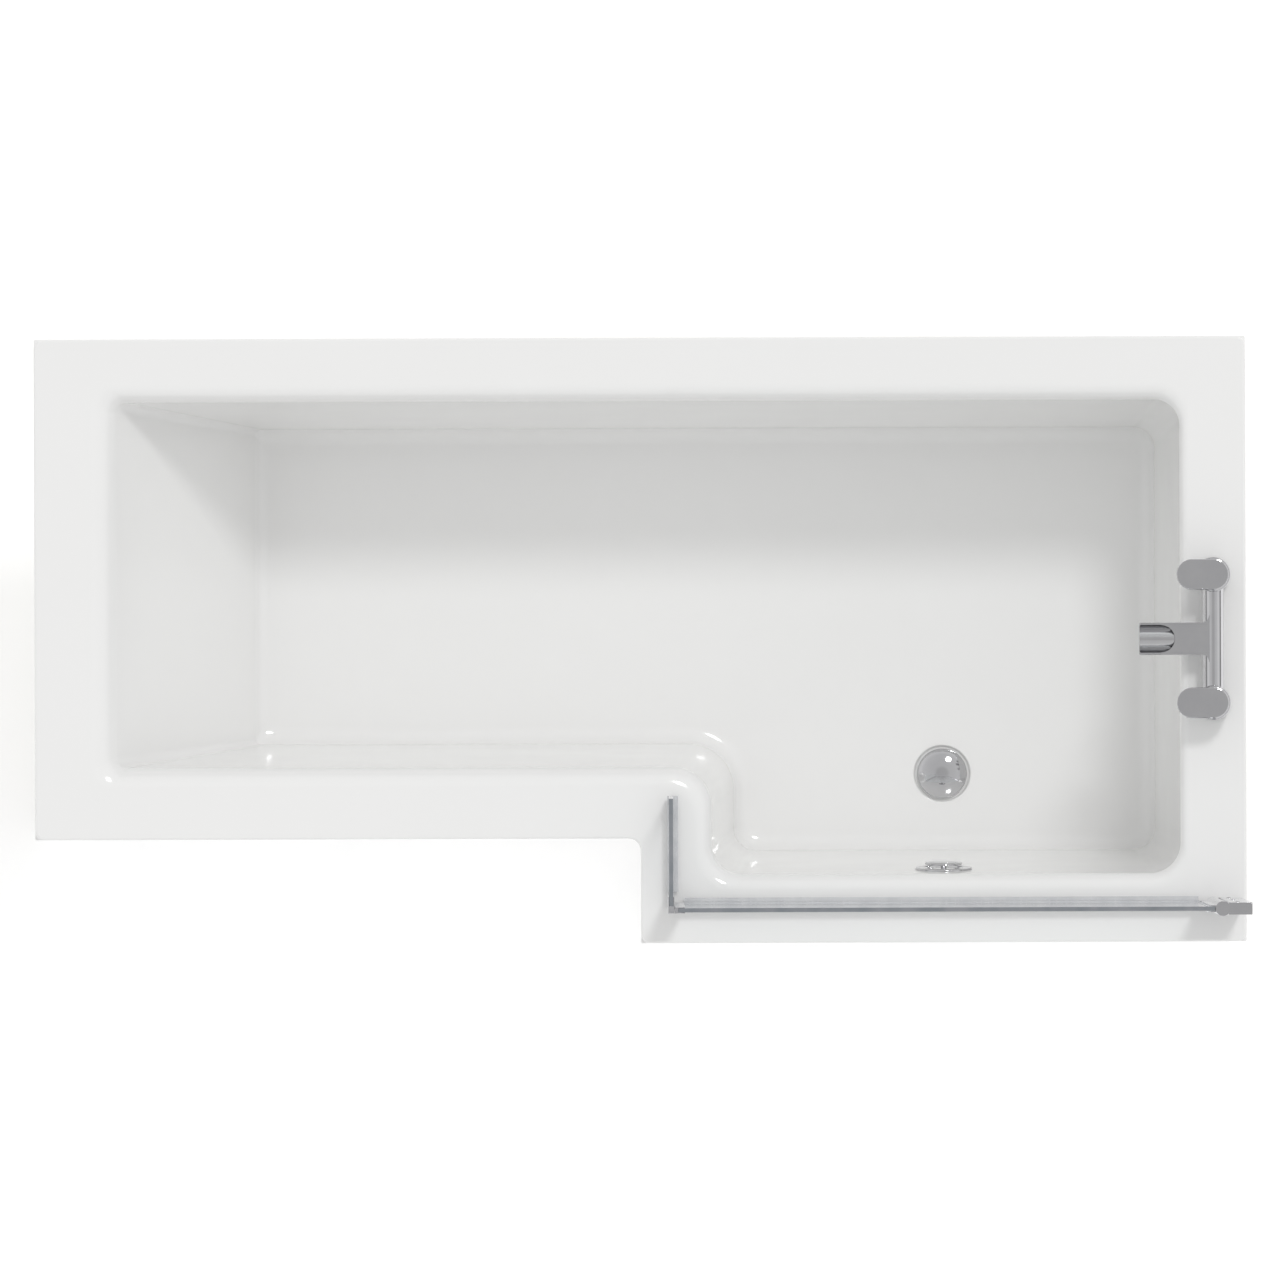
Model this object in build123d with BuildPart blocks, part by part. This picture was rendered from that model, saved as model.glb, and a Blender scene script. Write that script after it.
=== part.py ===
from build123d import *

import os
from math import cos, radians, sin, tan

os.makedirs("parts", exist_ok=True)

# All sizes are millimetres. X runs along the bath towards the taps, Y towards the back wall, Z up.

# The bath's plan: a narrow head part and a wider shower end in front of the taps
bath_length = 1700
bath_width = 850
shower_bulge = 147
narrow_width = bath_width - shower_bulge
shower_length = 850
rim_height = 550
rim_corner = 13
step_corner = 18
edge_round = 4

# The moulded shell and its turned-down lip
shell_wall = 6
lip_drop = 38
lip_wall = 6
foot_height = 4
foot_corner = 2

# The basin: flat ledges round it and walls that lean outward towards the top, with room below for the trap
trap_room = 150
basin_depth = rim_height - trap_room
head_ledge = 103
back_ledge = 87
tap_ledge = 92
shower_ledge = 95
step_ledge = 98
side_ledge = 99
backrest_lean = 27.8
back_lean = 5.9
wall_lean = 5.0
head_round = 28
basin_round = 46
basin_step_round = 50
rim_roll = 25
floor_round = 25

# The waste in the floor and the overflow in the wall in front of it
waste_from_end = 425
waste_from_front = 236
waste_x = bath_length / 2 - waste_from_end
waste_y = -bath_width / 2 + waste_from_front
recess_depth = 4.5
recess_margin = 3
flange_radius = 35
flange_thickness = 2.6
waste_seal = 1.5
tube_radius = 22
tube_bore = 19
tube_length = 45
spider_width = 8
spider_height = 6
spider_depth = 22
plug_radius = 34
plug_rise = 10
plug_edge = 1.6
plug_gap = 0.3
plug_seal = 1.4
plug_travel = 9
stem_radius = 4
cartridge_radius = 7
cartridge_drop = 17
cartridge_rise = 9
cartridge_end = 2
spring_room = 10
spring_wire = 0.5
spring_turns = 5
overflow_depth = 85
overflow_radius = 40
overflow_plate = 3
overflow_cap_radius = 26.5
overflow_cap_thickness = 3.5
overflow_slot = 4

# The waste's underside, the overflow pipe and the trap
under_seal = 3
body_flange_radius = 37
body_flange_thickness = 5
body_radius = 28
body_length = 62
tail_radius = 23.9
tail_length = 22
pipe_radius = 14
pipe_wall = 3
pipe_bend = 70
pipe_nut_height = 22
inlet_length = 24
elbow_radius = 30
elbow_length = 36
elbow_drop = 60
trap_radius = 20
trap_wall = 2.5
trap_bend = 23
trap_straight = 8
trap_outlet = 60
trap_clearance = 3
trap_seal = 2
trap_collar = 4
collar_step = 3
trap_nut_lip = 2
trap_nut_height = 23

# The carcass under the bath: board, rails, legs and battens
board_thickness = 15
board_margin = 4
rail_web = 50
rail_flange = 20
rail_height = 25
rail_steel = 2.5
rail_end = 6
head_rail_inset = 470
middle_rail_inset = 600
tap_rail_inset = 250
head_rail_x = -bath_length / 2 + head_rail_inset
middle_rail_x = bath_length / 2 - middle_rail_inset
tap_rail_x = bath_length / 2 - tap_rail_inset
leg_setback = 48
stud_radius = 6
nut_across = 19
nut_height = 10
foot_radius = 25
foot_rise = 20
foot_base = 6
batten_width = 27
batten_height = 18
batten_end = 60
floor_batten_width = 25
floor_batten_height = 38
panel_thickness = 4
panel_gap = 0.5
panel_end_gap = 9
panel_top_gap = 2
panel_screw_height = 25
panel_screw_length = 26
bracket_length = 60
bracket_depth = 40
bracket_drop = 50
bracket_steel = 2.5
bracket_inset = 370
bracket_x = bath_length / 2 - bracket_inset

# The bath filler on the ledge at the tap end
tap_inset = 46.4
tap_centres = 180
tap_seal = 1.5
housing_radius = 24.5
housing_height = 54
housing_round = 4
bar_radius = 15
bar_height = 33
spout_reach = 104
spout_width = 45
spout_flat = 3
spout_wall = 3.5
spout_blend = 10
scoop_length = 50
chamber_radius = 18
chamber_depth = 30
water_bore = 8
tap_tail_radius = 13.2
tap_tail_length = 70
tap_tail_grip = 12
tap_nut_across = 33
tap_nut_height = 12
tap_washer = 3
lever_length = 73
lever_width = 43
lever_thickness = 9
lever_top_round = 1.5
lever_foot_round = 1
lever_gap = 2
lever_cover = 3
lever_hub_radius = 16
grub_depth = 5
spindle_radius = 4
spindle_length = 20

# The hinged screen: main glass, corner profiles and return glass
screen_height = 1433
glass_thickness = 6
glass_lift = 13
screen_inset = 53
post_inset = 48.2
screen_y = -bath_width / 2 + screen_inset
post_x = bath_length / 2 - post_inset
post_radius = 10.25
jaw_length = 7
jaw_wall = 1.3
gasket_wall = 0.4
profile_inset = 7.7
channel_depth = 30
channel_width = 16.8
channel_wall = 1.6
cap_thickness = 4
pin_radius = 2.9
pin_length = 12
corner_inset = 37.3
corner_x = bath_length / 2 - shower_length + corner_inset
corner_width = 8.6
corner_main_length = 14
corner_return_length = 23
corner_grip = 13
corner_seam = 0.6
tongue_width = 1.6
tongue_length = 2.4
return_length = 158
seal_wall = 1.2
seal_grip = 14
seal_fin = 7.5

# Clearances
running_gap = 0.05
slide_gap = 0.3

# Small fasteners
screw_radius = 2
screw_head = 4

floor_z = rim_height - basin_depth
upward = (Align.CENTER, Align.CENTER, Align.MIN)
downward = (Align.CENTER, Align.CENTER, Align.MAX)


def save(piece, name):
    """Labels one finished piece and writes its file."""
    piece.label = name
    export_step(piece, f"parts/{name}.step")


def plan_corners(head, back, tap, shower, step, side):
    """The six corners of the L plan, each side moved in by its own inset."""
    left, right = -bath_length / 2 + head, bath_length / 2 - tap
    rear, near = bath_width / 2 - back, -bath_width / 2 + shower
    step_x = bath_length / 2 - shower_length + step
    step_y = bath_width / 2 - narrow_width + side
    return [(left, rear), (right, rear), (right, near), (step_x, near), (step_x, step_y), (left, step_y)]


def l_face(height, corners, radii):
    """A rounded L-shaped face at one height."""
    with BuildSketch(Plane.XY.offset(height)) as face:
        with BuildLine():
            FilletPolyline(*corners, radius=radii, close=True)
        make_face()
    return face.sketch


def even_face(height, inset, corner, inner_corner):
    """The bath's outline at one inset all round; inner_corner rounds the corner of the step."""
    return l_face(height, plan_corners(*[inset] * 6), [corner] * 4 + [inner_corner, corner])


def wall_inset(ledge, lean, depth, growth):
    """How far a leaning basin wall stands in from the bath's edge at one depth, grown square to it."""
    return ledge + depth * tan(radians(lean)) - growth / cos(radians(lean))


def basin_insets(depth, growth):
    """The insets of all six basin walls at one depth."""
    return (
        wall_inset(head_ledge, backrest_lean, depth, growth),
        wall_inset(back_ledge, back_lean, depth, growth),
        wall_inset(tap_ledge, wall_lean, depth, growth),
        wall_inset(shower_ledge, wall_lean, depth, growth),
        wall_inset(step_ledge, wall_lean, depth, growth),
        wall_inset(side_ledge, wall_lean, depth, growth),
    )


def basin_block(growth):
    """The space inside the basin, grown by one wall thickness or by nothing, with its floor edge rounded."""
    head, corner = head_round + growth, basin_round + growth
    radii = [head, corner, corner, corner, basin_step_round - growth, head]
    faces = [
        l_face(rim_height - depth, plan_corners(*basin_insets(depth, growth)), radii)
        for depth in (0, basin_depth + growth)
    ]
    with BuildPart() as block:
        loft(faces, ruled=True)
        fillet(block.edges().group_by(Axis.Z)[0], floor_round + growth)
    return block.part


# Bath shell: white acrylic vacuum-formed over a mould, rim, lip and basin in one skin
slab_bottom = rim_height - shell_wall
recess_z = floor_z - recess_depth
recess_radius = flange_radius + recess_margin
waste_hole = tube_radius + 2
tap_x = bath_length / 2 - tap_inset
tap_sides = (-tap_centres / 2, tap_centres / 2)
tap_hole = tap_tail_radius + 1
overflow_y = -bath_width / 2 + wall_inset(shower_ledge, wall_lean, overflow_depth, 0)
overflow_plane = Plane(
    origin=(waste_x, overflow_y, rim_height - overflow_depth),
    x_dir=(1, 0, 0),
    z_dir=(0, cos(radians(wall_lean)), sin(radians(wall_lean))),
)

lip_bottom = rim_height - lip_drop
lip_inner_round = rim_corner - lip_wall
lip_inner = even_face(lip_bottom, lip_wall, lip_inner_round, step_corner + lip_wall)
lip_ring = even_face(lip_bottom, 0, rim_corner, step_corner) - lip_inner
foot_ring = even_face(lip_bottom, 0, foot_corner, step_corner) - lip_inner

with BuildPart() as bath_shell:
    extrude(even_face(rim_height, 0, rim_corner, step_corner), amount=-shell_wall)
    add(basin_block(shell_wall))
    level_faces = bath_shell.faces().filter_by(Axis.Z)
    underside = level_faces.filter_by(lambda f: abs(f.center().Z - slab_bottom) < slide_gap)
    fillet(underside.sort_by(SortBy.AREA)[-1].inner_wires()[0].edges(), rim_roll - shell_wall)
    with Locations((waste_x, waste_y, recess_z - shell_wall)):
        Cylinder(recess_radius + shell_wall, recess_depth + shell_wall / 2, align=upward)
    add(basin_block(0), mode=Mode.SUBTRACT)
    top_face = bath_shell.faces().sort_by(Axis.Z)[-1]
    fillet(top_face.inner_wires()[0].edges(), rim_roll)
    top_face = bath_shell.faces().sort_by(Axis.Z)[-1]
    fillet(top_face.outer_wire().edges(), edge_round)
    extrude(lip_ring, amount=lip_drop - shell_wall)
    extrude(foot_ring, amount=foot_height)
    with Locations((waste_x, waste_y, recess_z)):
        Cylinder(recess_radius, recess_depth + 1, align=upward, mode=Mode.SUBTRACT)
    with Locations((waste_x, waste_y, recess_z + 1)):
        Cylinder(waste_hole, 2 * shell_wall, align=downward, mode=Mode.SUBTRACT)
    with Locations(*[(tap_x, side, rim_height) for side in tap_sides]):
        Cylinder(tap_hole, 2 * shell_wall, mode=Mode.SUBTRACT)
    with Locations(overflow_plane):
        Cylinder(waste_hole, 4 * shell_wall, mode=Mode.SUBTRACT)
save(bath_shell.part, "bath_shell")


def tube(radius, bore, length):
    """A plain round tube standing on its lower end."""
    with BuildPart() as piece:
        Cylinder(radius, length, align=upward)
        Cylinder(bore, length, align=upward, mode=Mode.SUBTRACT)
    return piece.part


def hex_nut(across, bore, height):
    """A hexagon nut standing on its lower face."""
    with BuildPart() as piece:
        with BuildSketch():
            RegularPolygon(across / 2, 6, major_radius=False)
            Circle(bore, mode=Mode.SUBTRACT)
        extrude(amount=height)
    return piece.part


def group(piece, places):
    """Separate copies of one small piece, kept together as one node."""
    return Compound(children=[Pos(*place) * piece for place in places])


# Waste flange: chromed brass ring in the floor's recess, with a threaded tube and a bridge for the plug
flange_z = recess_z + waste_seal
flange_top = flange_z + flange_thickness
spider_z = flange_top - spider_depth
with BuildPart() as waste_flange:
    with Locations((waste_x, waste_y, flange_z)):
        Cylinder(flange_radius, flange_thickness, align=upward)
        Cylinder(tube_radius, tube_length, align=downward)
    fillet(waste_flange.edges().group_by(Axis.Z)[-1], flange_thickness / 3)
    with Locations((waste_x, waste_y, flange_top)):
        Cylinder(tube_bore, tube_length + flange_thickness, align=downward, mode=Mode.SUBTRACT)
    with Locations((waste_x, waste_y, spider_z)):
        Box(2 * tube_bore + 2, spider_width, spider_height)
        Cylinder(cartridge_radius + 2, spider_height)
        Cylinder(cartridge_radius, spider_height, mode=Mode.SUBTRACT)
save(waste_flange.part, "waste_flange")

top_ring = tube(flange_radius - 1, tube_radius + running_gap, waste_seal)
save(Pos(waste_x, waste_y, recess_z) * top_ring, "waste_top_seal")

# Plug cartridge: the latching sleeve pressed into the bridge, open at the top for the plug's stem
cartridge_bottom = spider_z - cartridge_drop
cartridge_top = spider_z + cartridge_rise
cartridge_floor = cartridge_bottom + cartridge_end
stem_bottom = cartridge_floor + spring_room
with BuildPart() as plug_cartridge:
    with Locations((waste_x, waste_y, cartridge_bottom)):
        Cylinder(cartridge_radius - running_gap, cartridge_top - cartridge_bottom, align=upward)
    with Locations((waste_x, waste_y, cartridge_top)):
        bore_depth = cartridge_top - cartridge_floor
        Cylinder(stem_radius + running_gap, bore_depth, align=downward, mode=Mode.SUBTRACT)
save(plug_cartridge.part, "plug_cartridge")

# Plug spring: pushes the stem up when the latch lets go
spring_height = spring_room - 2 * spring_wire - 4 * running_gap
spring_start = Vector(waste_x, waste_y, cartridge_floor + spring_wire + 2 * running_gap)
spring_radius = stem_radius - spring_wire - slide_gap
with BuildPart() as plug_spring:
    with BuildLine(Plane(spring_start)) as coil:
        Helix(spring_height / spring_turns, spring_height, spring_radius)
    with BuildSketch(Plane(coil.line @ 0, z_dir=coil.line % 0)):
        Circle(spring_wire)
    sweep(path=coil.line, is_frenet=True)
save(plug_spring.part, "plug_spring")

# Plug: a domed chrome cap on its stem, pushed down to shut and pushed again to spring up
plug_z = flange_top + plug_gap + plug_seal
with BuildPart() as waste_plug:
    with BuildSketch(Plane.XZ):
        with BuildLine():
            Line((0, plug_z), (0, plug_z + plug_rise))
            ThreePointArc(
                (0, plug_z + plug_rise),
                (plug_radius * 0.55, plug_z + plug_edge + (plug_rise - plug_edge) * 0.72),
                (plug_radius, plug_z + plug_edge),
            )
            Line((plug_radius, plug_z + plug_edge), (plug_radius, plug_z))
            Line((plug_radius, plug_z), (0, plug_z))
        make_face()
    revolve(axis=Axis.Z)
    with Locations((0, 0, plug_z)):
        Cylinder(stem_radius, plug_z - stem_bottom, align=downward)
save(Pos(waste_x, waste_y, 0) * waste_plug.part, "waste_plug")

plug_ring = Pos(waste_x, waste_y, flange_top + plug_gap) * tube(plug_radius - 4, plug_radius - 9, plug_seal)
save(plug_ring, "plug_seal")

# Waste body under the floor: takes the flange's thread, the overflow pipe and the trap
boss_bottom = recess_z - shell_wall
body_top = boss_bottom - under_seal
body_bottom = body_top - body_length
tail_bottom = body_bottom - tail_length
tube_bottom = flange_z - tube_length
inlet_z = body_bottom + pipe_radius + 1
inlet_y = waste_y - body_radius - inlet_length
under_ring = tube(body_flange_radius - 1, tube_radius + running_gap, under_seal)
save(Pos(waste_x, waste_y, body_top) * under_ring, "waste_under_seal")

with BuildPart() as waste_body:
    with Locations((waste_x, waste_y, body_top)):
        Cylinder(body_flange_radius, body_flange_thickness, align=downward)
        Cylinder(body_radius, body_length, align=downward)
        Cylinder(tail_radius, body_length + tail_length, align=downward)
    with Locations(Plane((waste_x, waste_y, inlet_z), x_dir=(1, 0, 0), z_dir=(0, -1, 0))):
        Cylinder(pipe_radius, body_radius + inlet_length, align=upward)
        Cylinder(pipe_radius - pipe_wall, body_radius + inlet_length, align=upward, mode=Mode.SUBTRACT)
    with Locations((waste_x, waste_y, body_top)):
        Cylinder(tube_radius + running_gap, body_top - tube_bottom + 1, align=downward, mode=Mode.SUBTRACT)
        Cylinder(tube_bore, body_length + tail_length, align=downward, mode=Mode.SUBTRACT)
save(waste_body.part, "waste_body")

# Overflow: a chrome flange and cap on the shower-side wall, clamped to an elbow behind it
overflow_tube = shell_wall + elbow_length / 2
back_plane = overflow_plane.offset(-shell_wall)
with BuildPart() as overflow_flange:
    with BuildSketch(overflow_plane):
        Circle(overflow_radius)
    extrude(amount=overflow_plate)
    fillet(overflow_flange.edges().filter_by(GeomType.CIRCLE).sort_by(Axis.Y)[-1], 1.4)
    with BuildSketch(overflow_plane):
        Circle(tube_radius)
    extrude(amount=-overflow_tube)
    with BuildSketch(overflow_plane.offset(overflow_plate)):
        Circle(tube_bore)
    extrude(amount=-overflow_tube - overflow_plate, mode=Mode.SUBTRACT)
    with BuildSketch(overflow_plane.offset(-overflow_tube)):
        Rectangle(2 * tube_bore + 2, spider_width)
        Circle(2 * stem_radius)
        Circle(stem_radius + running_gap, mode=Mode.SUBTRACT)
    extrude(amount=spider_height)
save(overflow_flange.part, "overflow_flange")

cap_plane = overflow_plane.offset(overflow_plate + overflow_slot)
with BuildPart() as overflow_cap:
    with BuildSketch(cap_plane):
        Circle(overflow_cap_radius)
    extrude(amount=overflow_cap_thickness)
    cap_edge = overflow_cap.edges().filter_by(GeomType.CIRCLE).sort_by(Axis.Y)[-1]
    fillet(cap_edge, overflow_cap_thickness / 2.2)
    with BuildSketch(cap_plane):
        Circle(stem_radius)
    extrude(amount=-(overflow_plate + overflow_slot + overflow_tube))
save(overflow_cap.part, "overflow_cap")

with BuildPart() as overflow_gasket:
    with BuildSketch(back_plane):
        Circle(elbow_radius)
        Circle(waste_hole, mode=Mode.SUBTRACT)
    extrude(amount=-under_seal)
save(overflow_gasket.part, "overflow_gasket")

elbow_plane = back_plane.offset(-under_seal)
pipe_top = elbow_plane.offset(-elbow_length / 2 - pipe_wall).origin
elbow_bottom = pipe_top.Z - elbow_drop
with BuildPart() as overflow_elbow:
    with BuildSketch(elbow_plane):
        Circle(elbow_radius)
    extrude(amount=-elbow_length)
    with Locations(pipe_top):
        Cylinder(pipe_radius, elbow_drop, align=downward)
    with BuildSketch(elbow_plane):
        Circle(tube_radius + running_gap)
    extrude(amount=-elbow_length + pipe_wall, mode=Mode.SUBTRACT)
    with Locations(pipe_top):
        Cylinder(pipe_radius - pipe_wall, elbow_drop, align=downward, mode=Mode.SUBTRACT)
save(overflow_elbow.part, "overflow_elbow")

# Overflow pipe: from the elbow down behind the panel and across to the waste body
pipe_start = (pipe_top.Y, elbow_bottom)
with BuildPart() as overflow_pipe:
    with BuildLine(Plane.YZ.offset(waste_x)) as pipe_path:
        FilletPolyline(pipe_start, (pipe_top.Y, inlet_z), (inlet_y, inlet_z), radius=pipe_bend)
    with BuildSketch(Plane((waste_x, pipe_top.Y, elbow_bottom), x_dir=(1, 0, 0), z_dir=(0, 0, -1))):
        Circle(pipe_radius)
        Circle(pipe_radius - pipe_wall, mode=Mode.SUBTRACT)
    sweep(path=pipe_path.line)
save(overflow_pipe.part, "overflow_pipe")

pipe_nut = tube(pipe_radius + 5, pipe_radius + running_gap, pipe_nut_height)
top_nut = Pos(waste_x, pipe_top.Y, elbow_bottom - pipe_nut_height / 2) * pipe_nut
lower_nut = Pos(waste_x, inlet_y - pipe_nut_height / 2, inlet_z) * Rot(-90, 0, 0) * pipe_nut
save(Compound(children=[top_nut, lower_nut]), "overflow_nuts")

# Trap: the bent pipe that holds water against drain air, hung from the waste body's tail by a nut
trap_top = tail_bottom - trap_seal
trap_low = trap_radius + trap_clearance
trap_far = waste_y + 2 * trap_bend + trap_straight
trap_high = trap_low + 2 * trap_bend + trap_straight
with BuildPart() as waste_trap:
    with BuildLine(Plane.YZ.offset(waste_x)) as trap_path:
        FilletPolyline(
            (waste_y, trap_top),
            (waste_y, trap_low),
            (trap_far, trap_low),
            (trap_far, trap_high),
            (trap_far + trap_outlet, trap_high),
            radius=trap_bend,
        )
    with BuildSketch(Plane((waste_x, waste_y, trap_top), x_dir=(1, 0, 0), z_dir=(0, 0, -1))):
        Circle(trap_radius)
    sweep(path=trap_path.line)
    with Locations((waste_x, waste_y, trap_top)):
        Cylinder(tail_radius + collar_step, trap_collar, align=downward)
    with BuildSketch(Plane((waste_x, waste_y, trap_top), x_dir=(1, 0, 0), z_dir=(0, 0, -1))):
        Circle(trap_radius - trap_wall)
    sweep(path=trap_path.line, mode=Mode.SUBTRACT)
save(waste_trap.part, "waste_trap")

trap_ring = tube(tail_radius, trap_radius - trap_wall, tail_bottom - trap_top)
save(Pos(waste_x, waste_y, trap_top) * trap_ring, "trap_seal")

with BuildPart() as trap_nut:
    with Locations((waste_x, waste_y, trap_top - trap_collar - trap_nut_lip)):
        Cylinder(tail_radius + 2 * collar_step, trap_nut_height, align=upward)
        Cylinder(trap_radius + 1, trap_nut_height, align=upward, mode=Mode.SUBTRACT)
    with Locations((waste_x, waste_y, trap_top - trap_collar - running_gap)):
        collar_room = trap_collar + running_gap + tail_bottom - trap_top
        Cylinder(tail_radius + collar_step + running_gap, collar_room, align=upward, mode=Mode.SUBTRACT)
        Cylinder(tail_radius + running_gap, trap_nut_height, align=upward, mode=Mode.SUBTRACT)
save(trap_nut.part, "trap_nut")

# Base board: chipboard bonded under the floor, cut away round the waste
shell_bottom = floor_z - shell_wall
board_bottom = shell_bottom - board_thickness
board_border = floor_round + shell_wall + board_margin
board_insets = [inset + board_border for inset in basin_insets(basin_depth + shell_wall, shell_wall)]
board_corners = plan_corners(*board_insets)
board_rear, board_near, board_side = (board_corners[index][1] for index in (0, 2, 4))
rails = (
    ("head_rail", head_rail_x, board_side, board_rear),
    ("middle_rail", middle_rail_x, board_near, board_rear),
    ("tap_rail", tap_rail_x, board_near, board_rear),
)
screw_side = rail_web / 2 + rail_flange / 2
rail_screw_places = []
leg_places = []
for rail_name, rail_x, rail_near, rail_rear in rails:
    for rail_y in (rail_near + leg_setback, rail_rear - leg_setback):
        leg_places.append((rail_x, rail_y))
        rail_screw_places += [(rail_x - screw_side, rail_y), (rail_x + screw_side, rail_y)]

with BuildPart() as base_board:
    extrude(l_face(board_bottom, board_corners, [6] * 6), amount=board_thickness)
    with Locations((waste_x, waste_y, board_bottom)):
        Cylinder(recess_radius + 2 * shell_wall, board_thickness, align=upward, mode=Mode.SUBTRACT)
    with Locations(*[(x, y, board_bottom) for x, y in rail_screw_places]):
        Cylinder(screw_radius + running_gap, board_thickness - 2, align=upward, mode=Mode.SUBTRACT)
save(base_board.part, "base_board")

# Cradle rails: pressed steel hat sections screwed up into the board
web_z = board_bottom - rail_height
for rail_name, rail_x, rail_near, rail_rear in rails:
    with BuildPart() as rail:
        with BuildSketch(Plane.XZ.offset(-(rail_rear - rail_end))):
            with Locations((rail_x, web_z)):
                Rectangle(rail_web, rail_height, align=(Align.CENTER, Align.MIN))
            with Locations((rail_x, board_bottom)):
                Rectangle(rail_web + 2 * rail_flange, rail_steel, align=(Align.CENTER, Align.MAX))
            with Locations((rail_x, web_z + rail_steel)):
                rail_inside = rail_web - 2 * rail_steel
                Rectangle(rail_inside, rail_height, align=(Align.CENTER, Align.MIN), mode=Mode.SUBTRACT)
        extrude(amount=rail_rear - rail_near - 2 * rail_end)
        with Locations(*[(x, y, web_z) for x, y in leg_places if x == rail_x]):
            Cylinder(stud_radius + slide_gap, 4 * rail_steel, mode=Mode.SUBTRACT)
        near_screws = [(x, y, board_bottom) for x, y in rail_screw_places if abs(x - rail_x) < rail_web]
        with Locations(*near_screws):
            Cylinder(screw_radius + running_gap, 4 * rail_steel, mode=Mode.SUBTRACT)
    save(rail.part, rail_name)

with BuildPart() as rail_screw:
    Cylinder(screw_radius, board_thickness - 4, align=upward)
    with Locations((0, 0, -rail_steel)):
        Cylinder(screw_radius, rail_steel, align=upward)
        Cylinder(screw_head, 2, align=downward)
rail_screws = group(rail_screw.part, [(x, y, board_bottom) for x, y in rail_screw_places])
save(rail_screws, "rail_screws")

# Legs: threaded studs through the rails, locked by a nut above and below, standing on plastic feet
stud_bottom = foot_rise / 2
stud_top = web_z + rail_steel + nut_height + 4
stud = Cylinder(stud_radius, stud_top - stud_bottom, align=upward)
save(group(stud, [(x, y, stud_bottom) for x, y in leg_places]), "leg_studs")

leg_nut = hex_nut(nut_across, stud_radius + running_gap, nut_height)
nut_levels = (web_z - nut_height, web_z + rail_steel, foot_rise)
save(group(leg_nut, [(x, y, level) for x, y in leg_places for level in nut_levels]), "leg_nuts")

with BuildPart() as leg_foot:
    Cylinder(foot_radius, foot_base, align=upward)
    with Locations((0, 0, foot_base)):
        Cone(foot_radius - 4, nut_across / 2 + 2, foot_rise - foot_base, align=upward)
    with Locations((0, 0, stud_bottom)):
        Cylinder(stud_radius + running_gap, foot_rise, align=upward, mode=Mode.SUBTRACT)
save(group(leg_foot.part, [(x, y, 0) for x, y in leg_places]), "leg_feet")

# Battens bonded under the rim: they stiffen the ledges and hold the panel's top edge
outline = plan_corners(*[lip_wall + panel_gap + panel_thickness] * 6)
panel_left = outline[0][0]
panel_right, panel_near = outline[2]
panel_step_x, panel_side = outline[4]
lip_line = plan_corners(*[lip_wall + slide_gap] * 6)


def batten(left, near, right, rear, bottom, height):
    """A square-edged strip of timber."""
    with BuildPart() as strip:
        with Locations(((left + right) / 2, (near + rear) / 2, bottom)):
            Box(right - left, rear - near, height, align=upward)
    return strip.part


rim_batten_z = slab_bottom - batten_height
lip_left, lip_rear = lip_line[0]
lip_right = lip_line[2][0]
rim_battens = {
    "rim_batten_back": (lip_left + batten_end, lip_rear - batten_width, lip_right - batten_end, lip_rear),
    "rim_batten_head": (lip_left, panel_side + batten_end, lip_left + batten_width, lip_rear - batten_end),
    "rim_batten_side": (
        panel_left + batten_end, panel_side, panel_step_x - batten_end / 2, panel_side + batten_width
    ),
    "rim_batten_step": (
        panel_step_x, panel_near + batten_end, panel_step_x + batten_width, panel_side - batten_end / 2
    ),
    "rim_batten_shower": (
        panel_step_x + batten_end, panel_near, panel_right - batten_end, panel_near + batten_width
    ),
}
for batten_name, sides in rim_battens.items():
    save(batten(*sides, rim_batten_z, batten_height), batten_name)

floor_batten_sides = (
    (panel_left + batten_end, panel_side, panel_step_x - batten_end / 2, panel_side + floor_batten_width),
    (panel_step_x, panel_near + batten_end, panel_step_x + floor_batten_width, panel_side - batten_end / 2),
    (panel_step_x + batten_end, panel_near, panel_right - batten_end, panel_near + floor_batten_width),
)
side_span = panel_step_x - panel_left
shower_span = panel_right - panel_step_x
side_screws = [(panel_left + side_span * part, panel_side) for part in (0.15, 0.5, 0.85)]
shower_screws = [(panel_step_x + shower_span * part, panel_near) for part in (0.15, 0.5, 0.85)]
step_screw = (panel_step_x, (panel_near + panel_side) / 2)


def front_axis(x, y):
    """The line of a panel screw that enters the front faces towards the back wall."""
    return Plane((x, y - panel_thickness, panel_screw_height), x_dir=(1, 0, 0), z_dir=(0, 1, 0))


step_axis = Plane(
    (step_screw[0] - panel_thickness, step_screw[1], panel_screw_height), x_dir=(0, 1, 0), z_dir=(1, 0, 0)
)
screw_axes = [front_axis(x, y) for x, y in side_screws + shower_screws] + [step_axis]

with BuildPart() as floor_battens:
    for sides in floor_batten_sides:
        add(batten(*sides, 0, floor_batten_height))
    with Locations(*screw_axes):
        Cylinder(screw_radius + running_gap, panel_screw_length + 1, align=upward, mode=Mode.SUBTRACT)
save(floor_battens.part, "floor_battens")

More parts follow.
